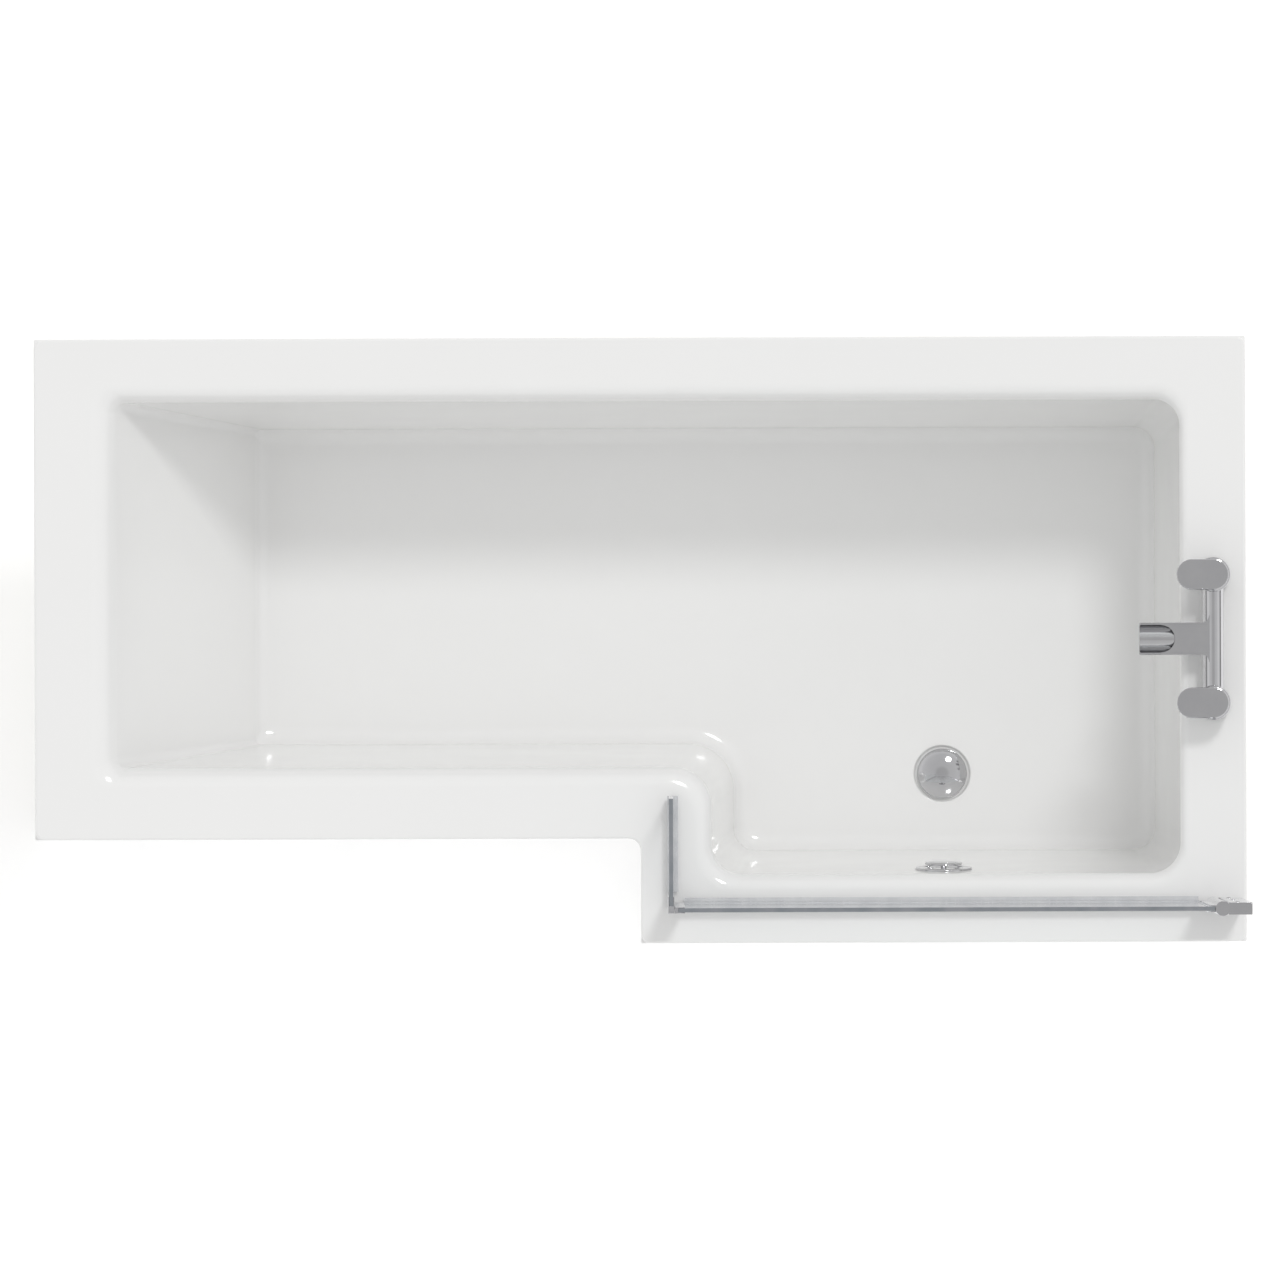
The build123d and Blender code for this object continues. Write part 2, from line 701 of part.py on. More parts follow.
# Front panel: one moulded L of three faces, tucked up behind the lip and screwed to the floor battens
panel_height = slab_bottom - panel_top_gap
outer = plan_corners(*[lip_wall + panel_gap] * 6)
end_right = bath_length / 2 - lip_wall - panel_end_gap
end_left = -end_right
panel_round = lip_inner_round + 1
step_round = step_corner + lip_wall + panel_gap
with BuildPart() as front_panel:
    with BuildSketch():
        with BuildLine():
            FilletPolyline(
                (end_left, outer[4][1]),
                outer[4],
                outer[3],
                (end_right, outer[3][1]),
                (end_right, outer[3][1] + panel_thickness),
                (outer[3][0] + panel_thickness, outer[3][1] + panel_thickness),
                (outer[4][0] + panel_thickness, outer[4][1] + panel_thickness),
                (end_left, outer[4][1] + panel_thickness),
                radius=[0, step_round, panel_round, 0, 0, panel_round - panel_thickness,
                        step_round + panel_thickness, 0],
                close=True,
            )
        make_face()
    extrude(amount=panel_height)
    with Locations(*screw_axes):
        Cylinder(screw_radius + slide_gap, panel_thickness, align=upward, mode=Mode.SUBTRACT)
save(front_panel.part, "front_panel")

with BuildPart() as panel_screw:
    Cylinder(screw_radius, panel_screw_length, align=upward)
    Cylinder(2 * screw_head, 2, align=downward)
    fillet(panel_screw.edges().group_by(Axis.Z)[0], 1.5)
panel_screws = Compound(children=[Location(axis) * panel_screw.part for axis in screw_axes])
save(panel_screws, "panel_screws")

# Wall brackets: steel angles fixed to the wall that catch the back lip from below
with BuildPart() as wall_bracket:
    Box(bracket_length, bracket_depth, bracket_steel, align=(Align.CENTER, Align.MAX, Align.MAX))
    Box(bracket_length, bracket_steel, bracket_drop, align=(Align.CENTER, Align.MAX, Align.MAX))
    with Locations(Plane((0, 0, -0.6 * bracket_drop), z_dir=(0, -1, 0))):
        Cylinder(1.5 * screw_radius, 3 * bracket_steel, mode=Mode.SUBTRACT)
bracket_places = [(side * bracket_x, bath_width / 2, lip_bottom) for side in (-1, 1)]
save(group(wall_bracket.part, bracket_places), "wall_brackets")

# Bath filler body: two valve housings joined by a round bar with an open spout, all one brass casting
housing_bottom = rim_height + tap_seal
housing_top = housing_bottom + housing_height
bar_z = rim_height + bar_height
spout_top = bar_z + bar_radius
spout_round = spout_width / 2
spout_axis_z = spout_top - spout_flat
spout_tip = tap_x - spout_reach
channel_radius = spout_round - spout_wall
with BuildPart() as tap_body:
    with Locations(Plane((tap_x, 0, bar_z), z_dir=(0, 1, 0))):
        Cylinder(bar_radius, tap_centres)
    with BuildSketch(Plane.YZ.offset(spout_tip)):
        with Locations((0, spout_axis_z)):
            Circle(spout_round)
            Rectangle(2 * spout_width, spout_width, align=(Align.CENTER, Align.MIN), mode=Mode.SUBTRACT)
            Rectangle(spout_width, spout_flat, align=(Align.CENTER, Align.MIN))
    extrude(amount=spout_reach)
    with BuildSketch(Plane.XY.offset(spout_axis_z)) as spout_corners:
        with Locations((tap_x, 0)):
            blend_width = spout_width + 2 * spout_blend
            Rectangle(bar_radius + spout_blend, blend_width, align=(Align.MAX, Align.CENTER))
        blend_x, blend_y = tap_x - bar_radius - spout_blend, spout_round + spout_blend
        with Locations(*[(blend_x, side * blend_y) for side in (-1, 1)]):
            Circle(spout_blend, mode=Mode.SUBTRACT)
    extrude(amount=spout_flat)
    with Locations(*[(tap_x, side, housing_bottom) for side in tap_sides]):
        Cylinder(housing_radius, housing_height, align=upward)
    fillet(tap_body.edges().group_by(Axis.Z)[-1], housing_round)
    with Locations(*[(tap_x, side, housing_top) for side in tap_sides]):
        Cylinder(chamber_radius, chamber_depth, align=downward, mode=Mode.SUBTRACT)
        Cylinder(water_bore, housing_height, align=downward, mode=Mode.SUBTRACT)
    with Locations(*[(tap_x, side, housing_bottom) for side in tap_sides]):
        Cylinder(tap_tail_radius + running_gap, tap_tail_grip, align=upward, mode=Mode.SUBTRACT)
    with Locations(Plane((tap_x, 0, bar_z), z_dir=(0, 1, 0))):
        Cylinder(water_bore, tap_centres, mode=Mode.SUBTRACT)
    with BuildSketch(Plane.YZ.offset(spout_tip)):
        with Locations((0, spout_axis_z)):
            Circle(channel_radius)
            Rectangle(2 * spout_width, spout_width, align=(Align.CENTER, Align.MIN), mode=Mode.SUBTRACT)
    extrude(amount=spout_reach - water_bore, mode=Mode.SUBTRACT)
    with BuildSketch(Plane.XY.offset(spout_axis_z)):
        with Locations((spout_tip + scoop_length - channel_radius, 0)):
            Circle(channel_radius)
            Rectangle(scoop_length, 2 * channel_radius, align=(Align.MAX, Align.CENTER))
    extrude(amount=2 * spout_flat, mode=Mode.SUBTRACT)
save(tap_body.part, "tap_body")

# Tails, seals, washers and nuts that clamp the filler to the ledge
tail = tube(tap_tail_radius, water_bore, tap_tail_length + tap_seal + tap_tail_grip)
tail_z = rim_height - tap_tail_length
save(group(tail, [(tap_x, side, tail_z) for side in tap_sides]), "tap_tails")
ledge_seal = tube(housing_radius - 1, tap_tail_radius + running_gap, tap_seal)
save(group(ledge_seal, [(tap_x, side, rim_height) for side in tap_sides]), "tap_seals")
nut_round = tap_nut_across / 2
washer = tube(nut_round + 1.5, tap_tail_radius + running_gap, tap_washer)
save(group(washer, [(tap_x, side, slab_bottom - tap_washer) for side in tap_sides]), "tap_washers")
tail_nut = hex_nut(tap_nut_across, tap_tail_radius + running_gap, tap_nut_height)
nut_z = slab_bottom - tap_washer - tap_nut_height
save(group(tail_nut, [(tap_x, side, nut_z) for side in tap_sides]), "tap_back_nuts")

# Cartridges: quarter-turn ceramic valves in the housings, one spindle standing out of each
cartridge = tube(chamber_radius - running_gap, spindle_radius + running_gap, chamber_depth - 1)
save(group(cartridge, [(tap_x, side, housing_top - chamber_depth) for side in tap_sides]), "tap_cartridges")

# Levers: flat pill-shaped paddles, each on its spindle, lying towards the basin when shut
lever_z = housing_top + lever_gap
spindle_top = lever_z + lever_thickness - lever_cover
spindle_z = spindle_top - spindle_length
grub_z = lever_z + lever_thickness / 2
for lever_name, side in (("hot", 1), ("cold", -1)):
    axis_y = side * tap_centres / 2
    grub_plane = Plane((tap_x + lever_width / 2 + 1, axis_y, grub_z), z_dir=(-1, 0, 0))
    grub_length = lever_width / 2 + 1 - spindle_radius - running_gap
    with BuildPart() as lever:
        with BuildSketch(Plane.XY.offset(lever_z)):
            with Locations((tap_x - (lever_length - lever_width) / 2, axis_y)):
                SlotOverall(lever_length, lever_width)
        extrude(amount=lever_thickness)
        fillet(lever.edges().group_by(Axis.Z)[-1], lever_top_round)
        fillet(lever.edges().group_by(Axis.Z)[0], lever_foot_round)
        with Locations((tap_x, axis_y, lever_z)):
            Cylinder(lever_hub_radius, lever_gap - slide_gap, align=downward)
        with Locations((tap_x, axis_y, spindle_top)):
            Cylinder(spindle_radius + running_gap, spindle_length, align=downward, mode=Mode.SUBTRACT)
        with Locations(grub_plane):
            Cylinder(screw_radius + running_gap, grub_length, align=upward, mode=Mode.SUBTRACT)
    save(lever.part, f"tap_lever_{lever_name}")
    spindle = Pos(tap_x, axis_y, spindle_z) * Cylinder(spindle_radius, spindle_length, align=upward)
    save(spindle, f"tap_spindle_{lever_name}")
    grub = Cylinder(screw_radius, grub_length - grub_depth, align=upward)
    save(Location(grub_plane.offset(grub_depth)) * grub, f"tap_grub_screw_{lever_name}")

# Wall channel: the aluminium U fixed to the wall, with four holes for the wall screws
wall_x = bath_length / 2 - profile_inset
screen_bottom = rim_height + slide_gap
screen_top = rim_height + screen_height
profile_bottom = screen_bottom + cap_thickness
profile_top = screen_top - cap_thickness
profile_length = profile_top - profile_bottom
profile_middle = (profile_top + profile_bottom) / 2
wall_hole_levels = [profile_middle + profile_length * part for part in (-0.42, -0.14, 0.14, 0.42)]
channel_x = wall_x - channel_depth
side_screw_levels = [profile_middle + profile_length * part for part in (-0.4, 0, 0.4)]
side_screw_x = channel_x + 11
side_screw_y = screen_y + channel_width / 2
side_screw_planes = [
    Plane((side_screw_x, side_screw_y, level), x_dir=(1, 0, 0), z_dir=(0, -1, 0)) for level in side_screw_levels
]
with BuildPart() as wall_channel:
    with BuildSketch(Plane.XY.offset(profile_bottom)):
        with Locations((wall_x, screen_y)):
            Rectangle(channel_depth, channel_width, align=(Align.MAX, Align.CENTER))
        with Locations((wall_x - channel_wall, screen_y)):
            inner_width = channel_width - 2 * channel_wall
            Rectangle(channel_depth, inner_width, align=(Align.MAX, Align.CENTER), mode=Mode.SUBTRACT)
    extrude(amount=profile_length)
    with Locations(*[Plane((wall_x, screen_y, level), z_dir=(1, 0, 0)) for level in wall_hole_levels]):
        Cylinder(screw_radius + 0.5, 4 * channel_wall, mode=Mode.SUBTRACT)
    with Locations(*side_screw_planes):
        Cylinder(screw_radius + running_gap, channel_wall, align=upward, mode=Mode.SUBTRACT)
save(wall_channel.part, "wall_channel")

# Hinge housing: slides in the channel to suit the wall and cups the round post
housing_width = inner_width - 2 * slide_gap
cup_x = post_x + post_radius * 0.75
with BuildPart() as hinge_housing:
    with BuildSketch(Plane.XY.offset(profile_bottom)):
        housing_back = wall_x - channel_wall - 2
        with Locations((housing_back, screen_y)):
            Rectangle(housing_back - cup_x, housing_width, align=(Align.MAX, Align.CENTER))
        with Locations((housing_back - channel_wall, screen_y)):
            void_width = housing_width - 2 * channel_wall
            void_length = housing_back - post_x - post_radius - 4 * channel_wall
            Rectangle(void_length, void_width, align=(Align.MAX, Align.CENTER), mode=Mode.SUBTRACT)
        with Locations((post_x, screen_y)):
            Circle(post_radius + slide_gap, mode=Mode.SUBTRACT)
    extrude(amount=profile_length)
    with Locations(*side_screw_planes):
        Cylinder(screw_radius + running_gap, channel_width / 2, align=upward, mode=Mode.SUBTRACT)
save(hinge_housing.part, "hinge_housing")

with BuildPart() as side_screw:
    Cylinder(screw_radius, 3 * channel_wall, align=upward)
    Cylinder(screw_head, 1.8, align=downward)
    fillet(side_screw.edges().group_by(Axis.Z)[0], 1.2)
hinge_screws = Compound(children=[Location(plane) * side_screw.part for plane in side_screw_planes])
save(hinge_screws, "hinge_screws")

# End caps: close the channel and carry the pivot pins that the post turns on
hinge_caps = (("hinge_top_cap", profile_top, downward), ("hinge_bottom_cap", screen_bottom, upward))
for cap_name, cap_z, pin_align in hinge_caps:
    with BuildPart() as cap:
        with BuildSketch(Plane.XY.offset(cap_z)):
            with Locations((post_x, screen_y)):
                Circle(post_radius)
            with Locations((wall_x, screen_y)):
                Rectangle(wall_x - cup_x, channel_width, align=(Align.MAX, Align.CENTER))
        extrude(amount=cap_thickness)
        with Locations((post_x, screen_y, cap_z)):
            Cylinder(pin_radius, pin_length + (cap_thickness if pin_align == upward else 0), align=pin_align)
    save(cap.part, cap_name)

# Hinge post: round profile with two jaws that grip the glass, turning on the cap pins
post_bottom = profile_bottom + slide_gap
post_length = profile_length - 2 * slide_gap
jaw_slot = glass_thickness + 2 * gasket_wall + 4 * running_gap
jaw_x = post_x - post_radius - jaw_length
jaw_depth = jaw_length - running_gap
with BuildPart() as hinge_post:
    with BuildSketch(Plane.XY.offset(post_bottom)):
        with Locations((post_x, screen_y)):
            Circle(post_radius)
            Rectangle(post_radius + jaw_length, jaw_slot + 2 * jaw_wall, align=(Align.MAX, Align.CENTER))
        with Locations((jaw_x, screen_y)):
            Rectangle(jaw_depth, jaw_slot, align=(Align.MIN, Align.CENTER), mode=Mode.SUBTRACT)
        with Locations((post_x, screen_y)):
            Circle(pin_radius + running_gap, mode=Mode.SUBTRACT)
    extrude(amount=post_length)
save(hinge_post.part, "hinge_post")

# Glazing gasket: clear strip between jaws and glass, its two lips flaring out in front of them
glass_right = jaw_x + jaw_depth - gasket_wall - 3 * running_gap
gasket_half = jaw_slot / 2 - running_gap
glass_half = glass_thickness / 2 + running_gap
with BuildPart() as glazing_gasket:
    with BuildSketch(Plane.XY.offset(post_bottom)):
        with Locations((jaw_x + jaw_depth - running_gap, screen_y)):
            Rectangle(jaw_depth - running_gap, 2 * gasket_half, align=(Align.MAX, Align.CENTER))
        for flip in (-1, 1):
            with BuildLine():
                Polyline(
                    (jaw_x + 1, screen_y + flip * glass_half),
                    (jaw_x + 1, screen_y + flip * gasket_half),
                    (jaw_x, screen_y + flip * gasket_half),
                    (jaw_x - 2.5, screen_y + flip * (gasket_half + 1.6)),
                    (jaw_x - 2.5, screen_y + flip * glass_half),
                    close=True,
                )
            make_face()
        with Locations((glass_right + running_gap, screen_y)):
            Rectangle(2 * jaw_depth, 2 * glass_half, align=(Align.MAX, Align.CENTER), mode=Mode.SUBTRACT)
    extrude(amount=post_length)
save(glazing_gasket.part, "glazing_gasket")

# Main glass: one toughened pane from the hinge to the corner
glass_bottom = rim_height + glass_lift
glass_height = screen_top - glass_bottom
main_x = corner_x + corner_width + corner_seam
glass_left = main_x + 5
with BuildPart() as main_glass:
    with Locations((glass_left, screen_y, glass_bottom)):
        glass_length = glass_right - glass_left
        Box(glass_length, glass_thickness, glass_height, align=(Align.MIN, Align.CENTER, Align.MIN))
save(main_glass.part, "main_glass")

# Corner profiles: one holds the main glass, one the return glass, and a tongue keys them together
corner_bottom = screen_bottom + 0.5
corner_height = screen_top - corner_bottom
return_x = corner_x + corner_width / 2
return_slot_y = screen_y - corner_width / 2 + corner_return_length - corner_grip
glass_slot = glass_thickness + 4 * running_gap
with BuildPart() as corner_main:
    with BuildSketch(Plane.XY.offset(corner_bottom)):
        with Locations((main_x, screen_y)):
            Rectangle(corner_main_length, corner_width, align=(Align.MIN, Align.CENTER))
            Rectangle(tongue_length, tongue_width, align=(Align.MAX, Align.CENTER))
        with Locations((glass_left - running_gap, screen_y)):
            Rectangle(corner_main_length, glass_slot, align=(Align.MIN, Align.CENTER), mode=Mode.SUBTRACT)
    extrude(amount=corner_height)
save(corner_main.part, "corner_profile_main")

with BuildPart() as corner_return:
    with BuildSketch(Plane.XY.offset(corner_bottom)):
        with Locations((return_x, screen_y - corner_width / 2)):
            Rectangle(corner_width, corner_return_length, align=(Align.CENTER, Align.MIN))
        with Locations((return_x, return_slot_y)):
            Rectangle(glass_slot, corner_return_length, align=(Align.CENTER, Align.MIN), mode=Mode.SUBTRACT)
        with Locations((main_x, screen_y)):
            groove = tongue_width + 2 * running_gap
            groove_depth = tongue_length + running_gap
            Rectangle(groove_depth, groove, align=(Align.MAX, Align.CENTER), mode=Mode.SUBTRACT)
    extrude(amount=corner_height)
save(corner_return.part, "corner_profile_return")

return_span = return_length - corner_return_length + corner_grip
with BuildPart() as return_glass:
    with Locations((return_x, return_slot_y + running_gap, glass_bottom)):
        Box(
            glass_thickness,
            return_span,
            glass_height,
            align=(Align.CENTER, Align.MIN, Align.MIN),
        )
save(return_glass.part, "return_glass")


def seal_section():
    """The bottom seal in section: a clip on the glass edge, a drip fin to the bath side and a sweeping blade."""
    clip_half = glass_thickness / 2 + running_gap + seal_wall
    clip_bottom = glass_bottom - 2
    fin_top = clip_bottom + 3
    with BuildSketch() as section:
        with Locations((0, clip_bottom)):
            Rectangle(2 * clip_half, seal_grip + 2, align=(Align.CENTER, Align.MIN))
        with Locations((0, glass_bottom)):
            clip_room = 2 * (clip_half - seal_wall)
            Rectangle(clip_room, seal_grip + 2, align=(Align.CENTER, Align.MIN), mode=Mode.SUBTRACT)
        with BuildLine():
            Polyline(
                (clip_half - seal_wall, clip_bottom),
                (clip_half, fin_top),
                (clip_half + seal_fin - seal_wall, fin_top - seal_fin),
                (clip_half + seal_fin - 2 * seal_wall, fin_top - seal_fin - 0.7),
                close=True,
            )
        make_face()
        with Locations((0, clip_bottom)):
            blade_length = clip_bottom - screen_bottom - slide_gap
            Rectangle(1.5 * seal_wall, blade_length, align=(Align.CENTER, Align.MAX))
    return section.sketch


main_seal_left = main_x + corner_main_length + slide_gap
main_seal_right = jaw_x - 2.5 - slide_gap
with BuildPart() as main_seal:
    extrude(Plane((main_seal_left, screen_y, 0), x_dir=(0, 1, 0), z_dir=(1, 0, 0)) * seal_section(),
            amount=main_seal_right - main_seal_left)
save(main_seal.part, "main_bottom_seal")

return_end = return_slot_y + running_gap + return_span
return_seal_start = screen_y - corner_width / 2 + corner_return_length + slide_gap
with BuildPart() as return_seal:
    extrude(Plane((return_x, return_end, 0), x_dir=(1, 0, 0), z_dir=(0, -1, 0)) * seal_section(),
            amount=return_end - return_seal_start)
save(return_seal.part, "return_bottom_seal")
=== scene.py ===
from math import cos, pi, radians, sin, tan

import bmesh
import bpy
from mathutils import Matrix, Vector


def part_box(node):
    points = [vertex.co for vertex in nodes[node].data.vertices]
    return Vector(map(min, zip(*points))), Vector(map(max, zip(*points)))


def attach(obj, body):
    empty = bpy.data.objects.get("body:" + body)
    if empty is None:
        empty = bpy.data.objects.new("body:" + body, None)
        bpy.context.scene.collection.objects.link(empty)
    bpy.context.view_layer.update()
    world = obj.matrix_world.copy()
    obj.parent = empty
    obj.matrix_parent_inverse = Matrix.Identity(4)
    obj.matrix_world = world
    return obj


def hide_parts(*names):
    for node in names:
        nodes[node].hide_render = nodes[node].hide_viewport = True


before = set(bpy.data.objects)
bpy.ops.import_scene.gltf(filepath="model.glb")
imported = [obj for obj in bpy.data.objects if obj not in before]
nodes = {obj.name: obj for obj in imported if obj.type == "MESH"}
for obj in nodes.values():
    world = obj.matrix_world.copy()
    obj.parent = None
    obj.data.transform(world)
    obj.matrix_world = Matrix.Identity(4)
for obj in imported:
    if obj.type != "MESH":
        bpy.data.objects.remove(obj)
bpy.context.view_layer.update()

# The view: straight down on the bath from far above, with a very long lens, so that the sides hardly show.
# The frame is about 1.8 m wide at the rim, and the picture is turned by a fraction of a degree.
rim_height = 0.550
frame_width = 1.7957
camera_lens = 1587.0
camera_sensor = 36.0
camera_height = rim_height + frame_width / 2 * camera_lens / (camera_sensor / 2)
eye = bpy.data.cameras.new("eye")
eye.lens = camera_lens
eye.sensor_width = camera_sensor
eye.clip_start = 1.0
eye.clip_end = 400.0
camera = bpy.data.objects.new("camera", eye)
camera.location = (-0.0003, 0.0006, camera_height)
camera.rotation_euler = (0, 0, radians(-0.185))
bpy.context.scene.collection.objects.link(camera)
bpy.context.scene.camera = camera
bpy.context.scene.view_settings.view_transform = "Standard"

# The studio: a pale floor, a bright soft sky with a greyer patch straight overhead, and one large soft lamp
# at the back right that throws the short shadows towards the front left.
lamp_direction = Vector((0.27, 0.59, 1.0))
lamp = bpy.data.lights.new("soft_lamp", "SUN")
lamp.energy = 0.70
lamp.angle = radians(10.0)
lamp_object = bpy.data.objects.new("soft_lamp", lamp)
lamp_object.rotation_mode = "QUATERNION"
lamp_object.rotation_quaternion = lamp_direction.to_track_quat("Z", "Y")
bpy.context.scene.collection.objects.link(lamp_object)

studio = bpy.data.worlds.new("studio")
studio.use_nodes = True
bpy.context.scene.world = studio
sky = studio.node_tree
sky_light = sky.nodes["Background"]
sky_direction = sky.nodes.new("ShaderNodeTexCoord")
sky_split = sky.nodes.new("ShaderNodeSeparateXYZ")
sky_height = sky.nodes.new("ShaderNodeMapRange")
sky_height.inputs["From Min"].default_value = -1.0
sky_ramp = sky.nodes.new("ShaderNodeValToRGB")
sky.links.new(sky_direction.outputs["Generated"], sky_split.inputs[0])
sky.links.new(sky_split.outputs["Z"], sky_height.inputs["Value"])
sky.links.new(sky_height.outputs["Result"], sky_ramp.inputs["Fac"])
sky_side = sky.nodes.new("ShaderNodeMapRange")
sky_side.inputs["From Min"].default_value = -1.0
sky_side.inputs["To Min"].default_value = 1.12
sky_side.inputs["To Max"].default_value = 0.88
sky_tone = sky.nodes.new("ShaderNodeVectorMath")
sky_tone.operation = "SCALE"
sky.links.new(sky_split.outputs["Y"], sky_side.inputs["Value"])
sky.links.new(sky_ramp.outputs["Color"], sky_tone.inputs[0])
sky.links.new(sky_side.outputs["Result"], sky_tone.inputs["Scale"])
sky.links.new(sky_tone.outputs["Vector"], sky_light.inputs["Color"])
sky_light.inputs["Strength"].default_value = 0.75
sky_levels = (
    (-1.0, 0.50), (0.02, 0.22), (0.12, 0.35), (0.30, 0.84), (0.45, 1.20), (0.65, 1.16), (0.75, 1.0), (0.96, 0.90),
    (0.985, 0.73), (1.0, 0.73),
)
while len(sky_ramp.color_ramp.elements) < len(sky_levels):
    sky_ramp.color_ramp.elements.new(0.5)
for stop, (level, brightness) in zip(sky_ramp.color_ramp.elements, sky_levels):
    stop.position = (level + 1) / 2
    stop.color = (brightness, brightness, brightness, 1)

floor_mesh = bpy.data.meshes.new("studio_floor")
reach = 160
floor_corners = [(-reach, -reach, 0), (reach, -reach, 0), (reach, reach, 0), (-reach, reach, 0)]
floor_mesh.from_pydata(floor_corners, [], [(0, 1, 2, 3)])
studio_floor = bpy.data.objects.new("studio_floor", floor_mesh)
bpy.context.scene.collection.objects.link(studio_floor)
floor_paint = bpy.data.materials.new("floor_paint")
floor_paint.use_nodes = True
floor_shader = floor_paint.node_tree.nodes["Principled BSDF"]
floor_shader.inputs["Base Color"].default_value = (0.82, 0.82, 0.82, 1)
floor_shader.inputs["Roughness"].default_value = 0.9
floor_shader.inputs["Specular IOR Level"].default_value = 0.1
floor_shader.inputs["Emission Color"].default_value = (1, 1, 1, 1)
floor_shader.inputs["Emission Strength"].default_value = 0.42
floor_mesh.materials.append(floor_paint)


# Bath shell: a sheet of white acrylic, vacuum-formed over a mould, its back sprayed with resin and chopped glass.
# The rim rolls over into leaning walls, widest at the sloping head end, and the walls sweep into a flat floor.
def surface_group():
    """Colour mottle, uneven gloss and fine relief from two noises, for a moulded, cast or drawn surface."""
    group = bpy.data.node_groups.new("made_surface", "ShaderNodeTree")
    face = group.interface
    for name, kind, start in (
        ("Stretch", "NodeSocketVector", (1, 1, 1)),
        ("Scale", "NodeSocketFloat", 20.0),
        ("Fine Scale", "NodeSocketFloat", 300.0),
        ("Base", "NodeSocketColor", (0.8, 0.8, 0.8, 1)),
        ("Shade", "NodeSocketColor", (0.7, 0.7, 0.7, 1)),
        ("Gloss Low", "NodeSocketFloat", 0.2),
        ("Gloss High", "NodeSocketFloat", 0.3),
        ("Relief", "NodeSocketFloat", 0.0001),
    ):
        socket = face.new_socket(name, in_out="INPUT", socket_type=kind)
        socket.default_value = start
    face.new_socket("Colour", in_out="OUTPUT", socket_type="NodeSocketColor")
    face.new_socket("Roughness", in_out="OUTPUT", socket_type="NodeSocketFloat")
    face.new_socket("Normal", in_out="OUTPUT", socket_type="NodeSocketVector")
    made, link = group.nodes, group.links.new
    values = made.new("NodeGroupInput")
    result = made.new("NodeGroupOutput")
    place = made.new("ShaderNodeTexCoord")
    stretch = made.new("ShaderNodeVectorMath")
    stretch.operation = "MULTIPLY"
    link(place.outputs["Object"], stretch.inputs[0])
    link(values.outputs["Stretch"], stretch.inputs[1])
    broad, fine = made.new("ShaderNodeTexNoise"), made.new("ShaderNodeTexNoise")
    for noise, scale in ((broad, "Scale"), (fine, "Fine Scale")):
        link(stretch.outputs[0], noise.inputs["Vector"])
        link(values.outputs[scale], noise.inputs["Scale"])
        noise.inputs["Detail"].default_value = 4.0
    tint = made.new("ShaderNodeMix")
    tint.data_type = "RGBA"
    spread = made.new("ShaderNodeMapRange")
    spread.inputs["From Min"].default_value = 0.35
    spread.inputs["From Max"].default_value = 0.65
    link(broad.outputs["Fac"], spread.inputs["Value"])
    link(spread.outputs["Result"], tint.inputs["Factor"])
    link(values.outputs["Base"], tint.inputs["A"])
    link(values.outputs["Shade"], tint.inputs["B"])
    gloss = made.new("ShaderNodeMapRange")
    gloss.inputs["From Min"].default_value = 0.3
    gloss.inputs["From Max"].default_value = 0.7
    link(fine.outputs["Fac"], gloss.inputs["Value"])
    link(values.outputs["Gloss Low"], gloss.inputs["To Min"])
    link(values.outputs["Gloss High"], gloss.inputs["To Max"])
    relief = made.new("ShaderNodeBump")
    link(fine.outputs["Fac"], relief.inputs["Height"])
    link(values.outputs["Relief"], relief.inputs["Distance"])
    link(tint.outputs["Result"], result.inputs["Colour"])
    link(gloss.outputs["Result"], result.inputs["Roughness"])
    link(relief.outputs["Normal"], result.inputs["Normal"])
    return group


made_surface = surface_group()


def finish_of(name, base, shade, gloss, scale, fine_scale, relief, stretch=(1, 1, 1), metal=0.0):
    """A material whose colour, gloss and relief come from the made surface."""
    finish = bpy.data.materials.new(name)
    finish.use_nodes = True
    tree = finish.node_tree
    shader = tree.nodes["Principled BSDF"]
    shader.inputs["Metallic"].default_value = metal
    surface = tree.nodes.new("ShaderNodeGroup")
    surface.node_tree = made_surface
    surface.inputs["Stretch"].default_value = stretch
    surface.inputs["Scale"].default_value = scale
    surface.inputs["Fine Scale"].default_value = fine_scale
    surface.inputs["Base"].default_value = (*base, 1)
    surface.inputs["Shade"].default_value = (*shade, 1)
    surface.inputs["Gloss Low"].default_value = gloss[0]
    surface.inputs["Gloss High"].default_value = gloss[1]
    surface.inputs["Relief"].default_value = relief
    tree.links.new(surface.outputs["Colour"], shader.inputs["Base Color"])
    tree.links.new(surface.outputs["Roughness"], shader.inputs["Roughness"])
    tree.links.new(surface.outputs["Normal"], shader.inputs["Normal"])
    return finish


def shader_of(finish):
    """The shader of a finish, for values that only one of them has."""
    return finish.node_tree.nodes["Principled BSDF"]


acrylic = finish_of(
    "acrylic", (0.930, 0.928, 0.920), (0.936, 0.934, 0.927), (0.08, 0.13), 4.0, 6.0, 0.00002
)
acrylic_shader = shader_of(acrylic)
acrylic_shader.inputs["IOR"].default_value = 1.49
acrylic_shader.inputs["Coat Weight"].default_value = 0.25
acrylic_shader.inputs["Coat Roughness"].default_value = 0.04
resin = finish_of(
    "glass_fibre_resin", (0.66, 0.66, 0.60), (0.50, 0.51, 0.45), (0.35, 0.65), 60.0, 420.0, 0.0012, (1.0, 0.35, 1.6)
)


